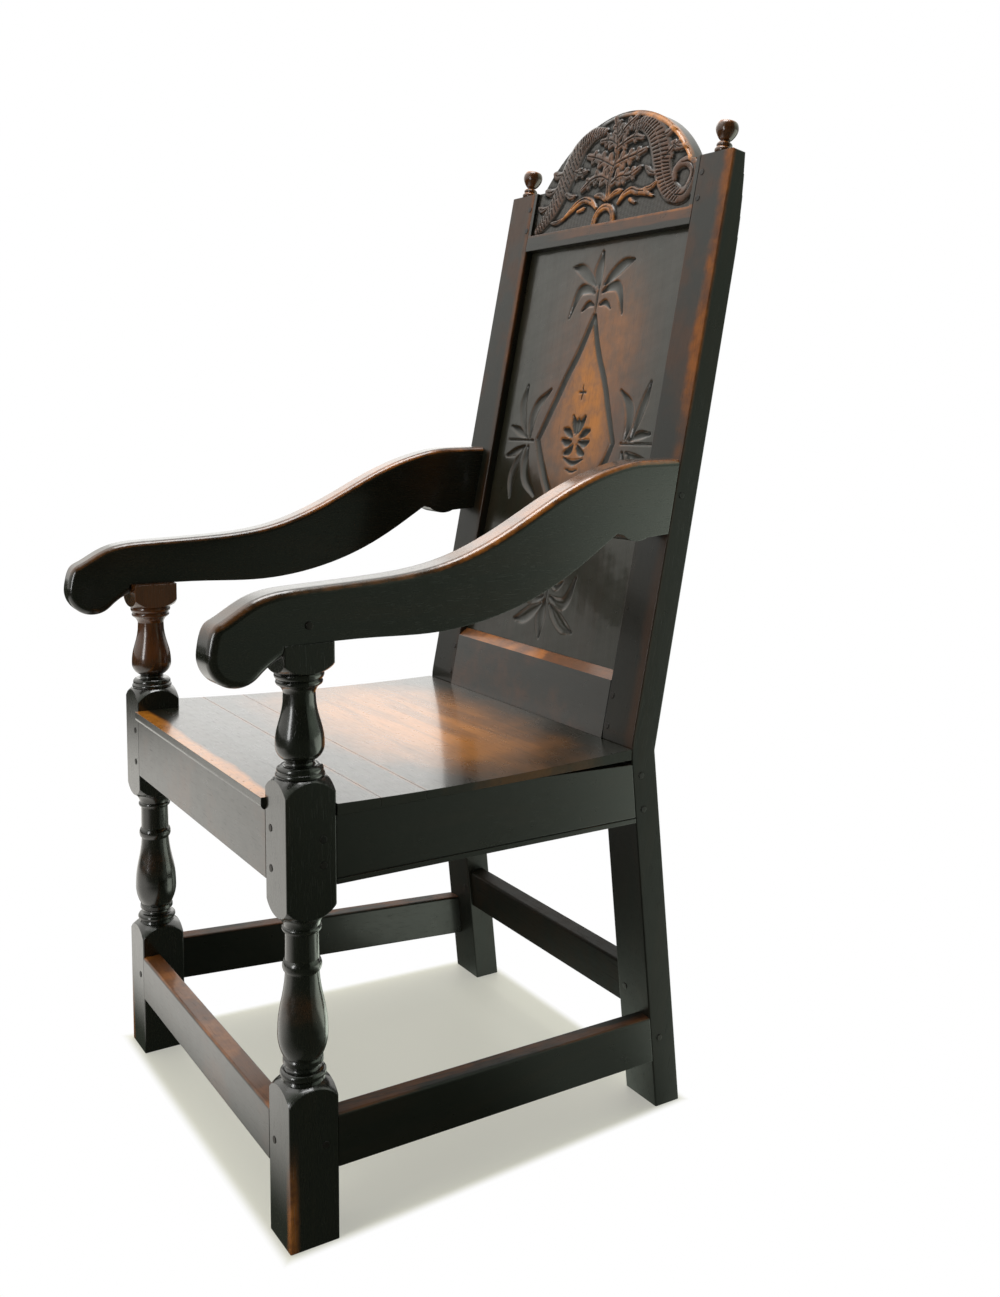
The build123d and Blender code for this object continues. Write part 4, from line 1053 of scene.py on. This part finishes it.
@dataclass
class PanelCarving(CarvedSheet):
    """The back panel with its lozenge, flower and sprays cut with gouges."""

    name: str = "carved_panel"
    oak: str = "oak_panel"
    slot: str = "oak_panel"
    half_width: float = 172.0
    low: float = 78.5
    high: float = 598.5
    out: float = -11.0
    skirt: float = 9.0
    spacing: float = 1.42

    def __post_init__(self) -> None:
        """Lay out the strokes, in millimetres from the middle of the panel."""
        paired = self.side_leaves() + self.top_spray()
        strokes = self.lozenge() + self.flower() + paired + [stroke.placed(upright=-1) for stroke in paired]
        self.strokes = [stroke.placed(up=(self.low + self.high) / 2) for stroke in strokes]

    def lozenge(self) -> list[Stroke]:
        """Cut the broad lines of the lozenge, with its slightly hollow sides, and a line on each side."""
        sides = (
            ((0, 163), (-20, 118), (-40, 82), (-60, 42), (-80, 3)),
            ((0, 163), (20, 118), (45, 77), (65, 37), (82, 3)),
            ((-80, 3), (-66, -22), (-50, -46), (-30, -76), (0, -154)),
            ((82, 3), (72, -22), (54, -48), (30, -80), (0, -154)),
        )
        lines = [Stroke(((-150, 2), (-90, 2)), (1.4, 1.8), 1.6), Stroke(((98, 3), (158, 4)), (1.8, 1.4), 1.6)]
        return [Stroke(side, (5.5, 6.6, 6.6, 6.6, 5.5), 2.7) for side in sides] + lines

    def flower(self) -> list[Stroke]:
        """Cut the flower in the middle and the small star above it."""
        made = []
        petals = (
            ((-2, 16), (-4, 28), (-10, 40)), ((8, 16), (12, 28), (20, 40)), ((3, 14), (4, 26), (5, 36)),
            ((-6, 10), (-16, 16), (-28, 20)), ((14, 10), (24, 16), (36, 20)),
            ((-6, 2), (-18, 0), (-30, 4)), ((14, 2), (26, 0), (38, 4)),
            ((0, -4), (-8, -12), (-20, -16)), ((10, -4), (18, -12), (30, -16)),
        )
        for petal in petals:
            shrunk = tuple((4 + (x - 4) * 0.84, 8 + (y - 8) * 0.84) for x, y in petal)
            made.append(Stroke(shrunk, (2.4, 6.6, 2.8), 3.0))
        made.append(Stroke(((-16, -18), (5, -24), (26, -18)), (1.5, 4.6, 1.5), 2.4))
        made.append(Stroke(((-8, -32), (5, -35), (18, -32)), (1.0, 2.6, 1.0), 1.8))
        for across, up in ((0, 9), (9, 0), (0, -9), (-9, 0)):
            made.append(Stroke(((3, 66), (3 + across, 66 + up)), (2.0, 0.8), 1.8))
        return made

    def side_leaves(self) -> list[Stroke]:
        """Cut the leaves that stand on both sides of the lozenge."""
        return [
            Stroke(((-100, 6), (-101, 28), (-92, 50), (-68, 70)), (2.4, 8.2, 9.0, 2.0), 2.5),
            Stroke(((-112, 8), (-122, 30), (-128, 52), (-124, 76)), (2.4, 7.2, 7.8, 2.0), 2.4),
            Stroke(((-108, 6), (-128, 14), (-148, 20)), (2.2, 6.2, 1.8), 2.2),
            Stroke(((104, 8), (108, 30), (102, 50), (82, 68)), (2.4, 8.2, 9.0, 2.0), 2.5),
            Stroke(((116, 10), (124, 32), (131, 54), (138, 78)), (2.4, 6.8, 7.6, 2.0), 2.4),
            Stroke(((112, 8), (132, 14), (152, 16)), (2.2, 6.2, 1.8), 2.2),
        ]

    def top_spray(self) -> list[Stroke]:
        """Cut the spray above the lozenge."""
        half = [
            Stroke(((10, 204), (24, 214), (44, 226), (64, 231)), (2.4, 8.8, 9.2, 2.0), 2.6),
            Stroke(((8, 194), (24, 200), (42, 196), (56, 164)), (2.4, 7.6, 8.2, 2.0), 2.5),
            Stroke(((6, 178), (18, 180), (30, 172)), (2.0, 5.4, 1.8), 2.2),
        ]
        middle = Stroke(((-2, 200), (-6, 220), (-4, 246)), (2.8, 11.5, 3.4), 2.5)
        stem = Stroke(((0, 166), (-1, 202)), (1.6, 2.4), 1.8)
        return half + [stroke.placed(sideways=-1) for stroke in half] + [middle, stem]

    def top(self, across: np.ndarray) -> np.ndarray:
        """End level under the crest rail."""
        return np.full(len(across), self.high)

    def surface(self, places: np.ndarray, raised: np.ndarray, cut: np.ndarray) -> Surface:
        """Leave the plane's waves, and warm the middle and the rims of the cuts, which stay dark.

        Args:
            places: Places across and up, one per row.
            raised: Height of what stands up at each, which is nothing here; not used.
            cut: Depth of what is cut away at each.

        Returns:
            The height at each place, in millimetres, and the masks.
        """
        height = 0.22 * ripple(places, 34.0, 1.4) + 0.08 * ripple(places, 12.0, 0.3) - cut - 0.3
        across, up = places[:, 0], places[:, 1] - (self.low + self.high) / 2
        glow = smooth(np.hypot((across - 18) / 128, (up - 70) / 205), 1.15, 0.3)
        share = np.where(up > 0, up / 163, -up / 155)
        inside = smooth(1 - share - np.abs(across) / 80, -0.12, 0.3)
        low = smooth(np.hypot((across - 24) / 75, (up - 50) / 100), 1.2, 0.2)
        haze = smooth(np.hypot((across - 45) / 75, (up - 125) / 110), 1.1, 0.1)
        rims = smooth(cut, 0.05, 0.5) * smooth(cut, 1.5, 0.6)
        clean = smooth(cut, 1.3, 0.3)
        bare = inside * (0.2 + 0.8 * low) * clean + haze * clean * 0.35 + rims * glow * 0.4
        return height, {
            "rubbed": np.clip(glow * clean * 0.75 + rims * (0.25 + 0.6 * glow), 0, 1),
            "bare": np.clip(bare, 0, 1),
        }


# -------- the chair
class WainscotChair:
    """The chair's pieces and their finishes."""

    def dress(self) -> None:
        """Finish every piece that the frame brings."""
        sides = ("right", "left")
        dressed = {
            "oak_upright": [f"front_leg_{side}" for side in sides],
            "oak_post": [f"rear_post_{side}" for side in sides],
            "oak_cross_rail": ["front_seat_rail", "front_stretcher", "lower_back_rail"],
            "oak_shaded_rail": ["rear_seat_rail", "rear_stretcher"],
            "oak_side_rail": [f"side_{rail}_{side}" for rail in ("seat_rail", "stretcher") for side in sides],
            "oak_crest": ["crest_rail"],
            "oak_seat": [f"seat_board_{place}" for place in ("front", "middle", "rear")],
            "oak_arm": [f"arm_{side}" for side in sides],
            "oak_finial": [f"finial_{side}" for side in sides],
            "oak_peg": ["seat_rail_pegs", "stretcher_pegs", "back_frame_pegs", "arm_pegs"],
        }
        for name, nodes in dressed.items():
            for node in nodes:
                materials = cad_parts[node].data.materials
                materials.clear()
                materials.append(finish(name))
                log.info("dressed %s in %s", node, name)

    def carve(self) -> None:
        """Add the carved work of the back."""
        CrestCarving().build()
        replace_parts(PanelCarving().build(), "back_panel")


def main() -> None:
    """Build the scene and report each piece."""
    logging.basicConfig(level=logging.INFO, format="%(message)s")
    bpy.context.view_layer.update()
    chair = WainscotChair()
    chair.dress()
    chair.carve()
    Studio().build()


if __name__ == "__main__":
    main()
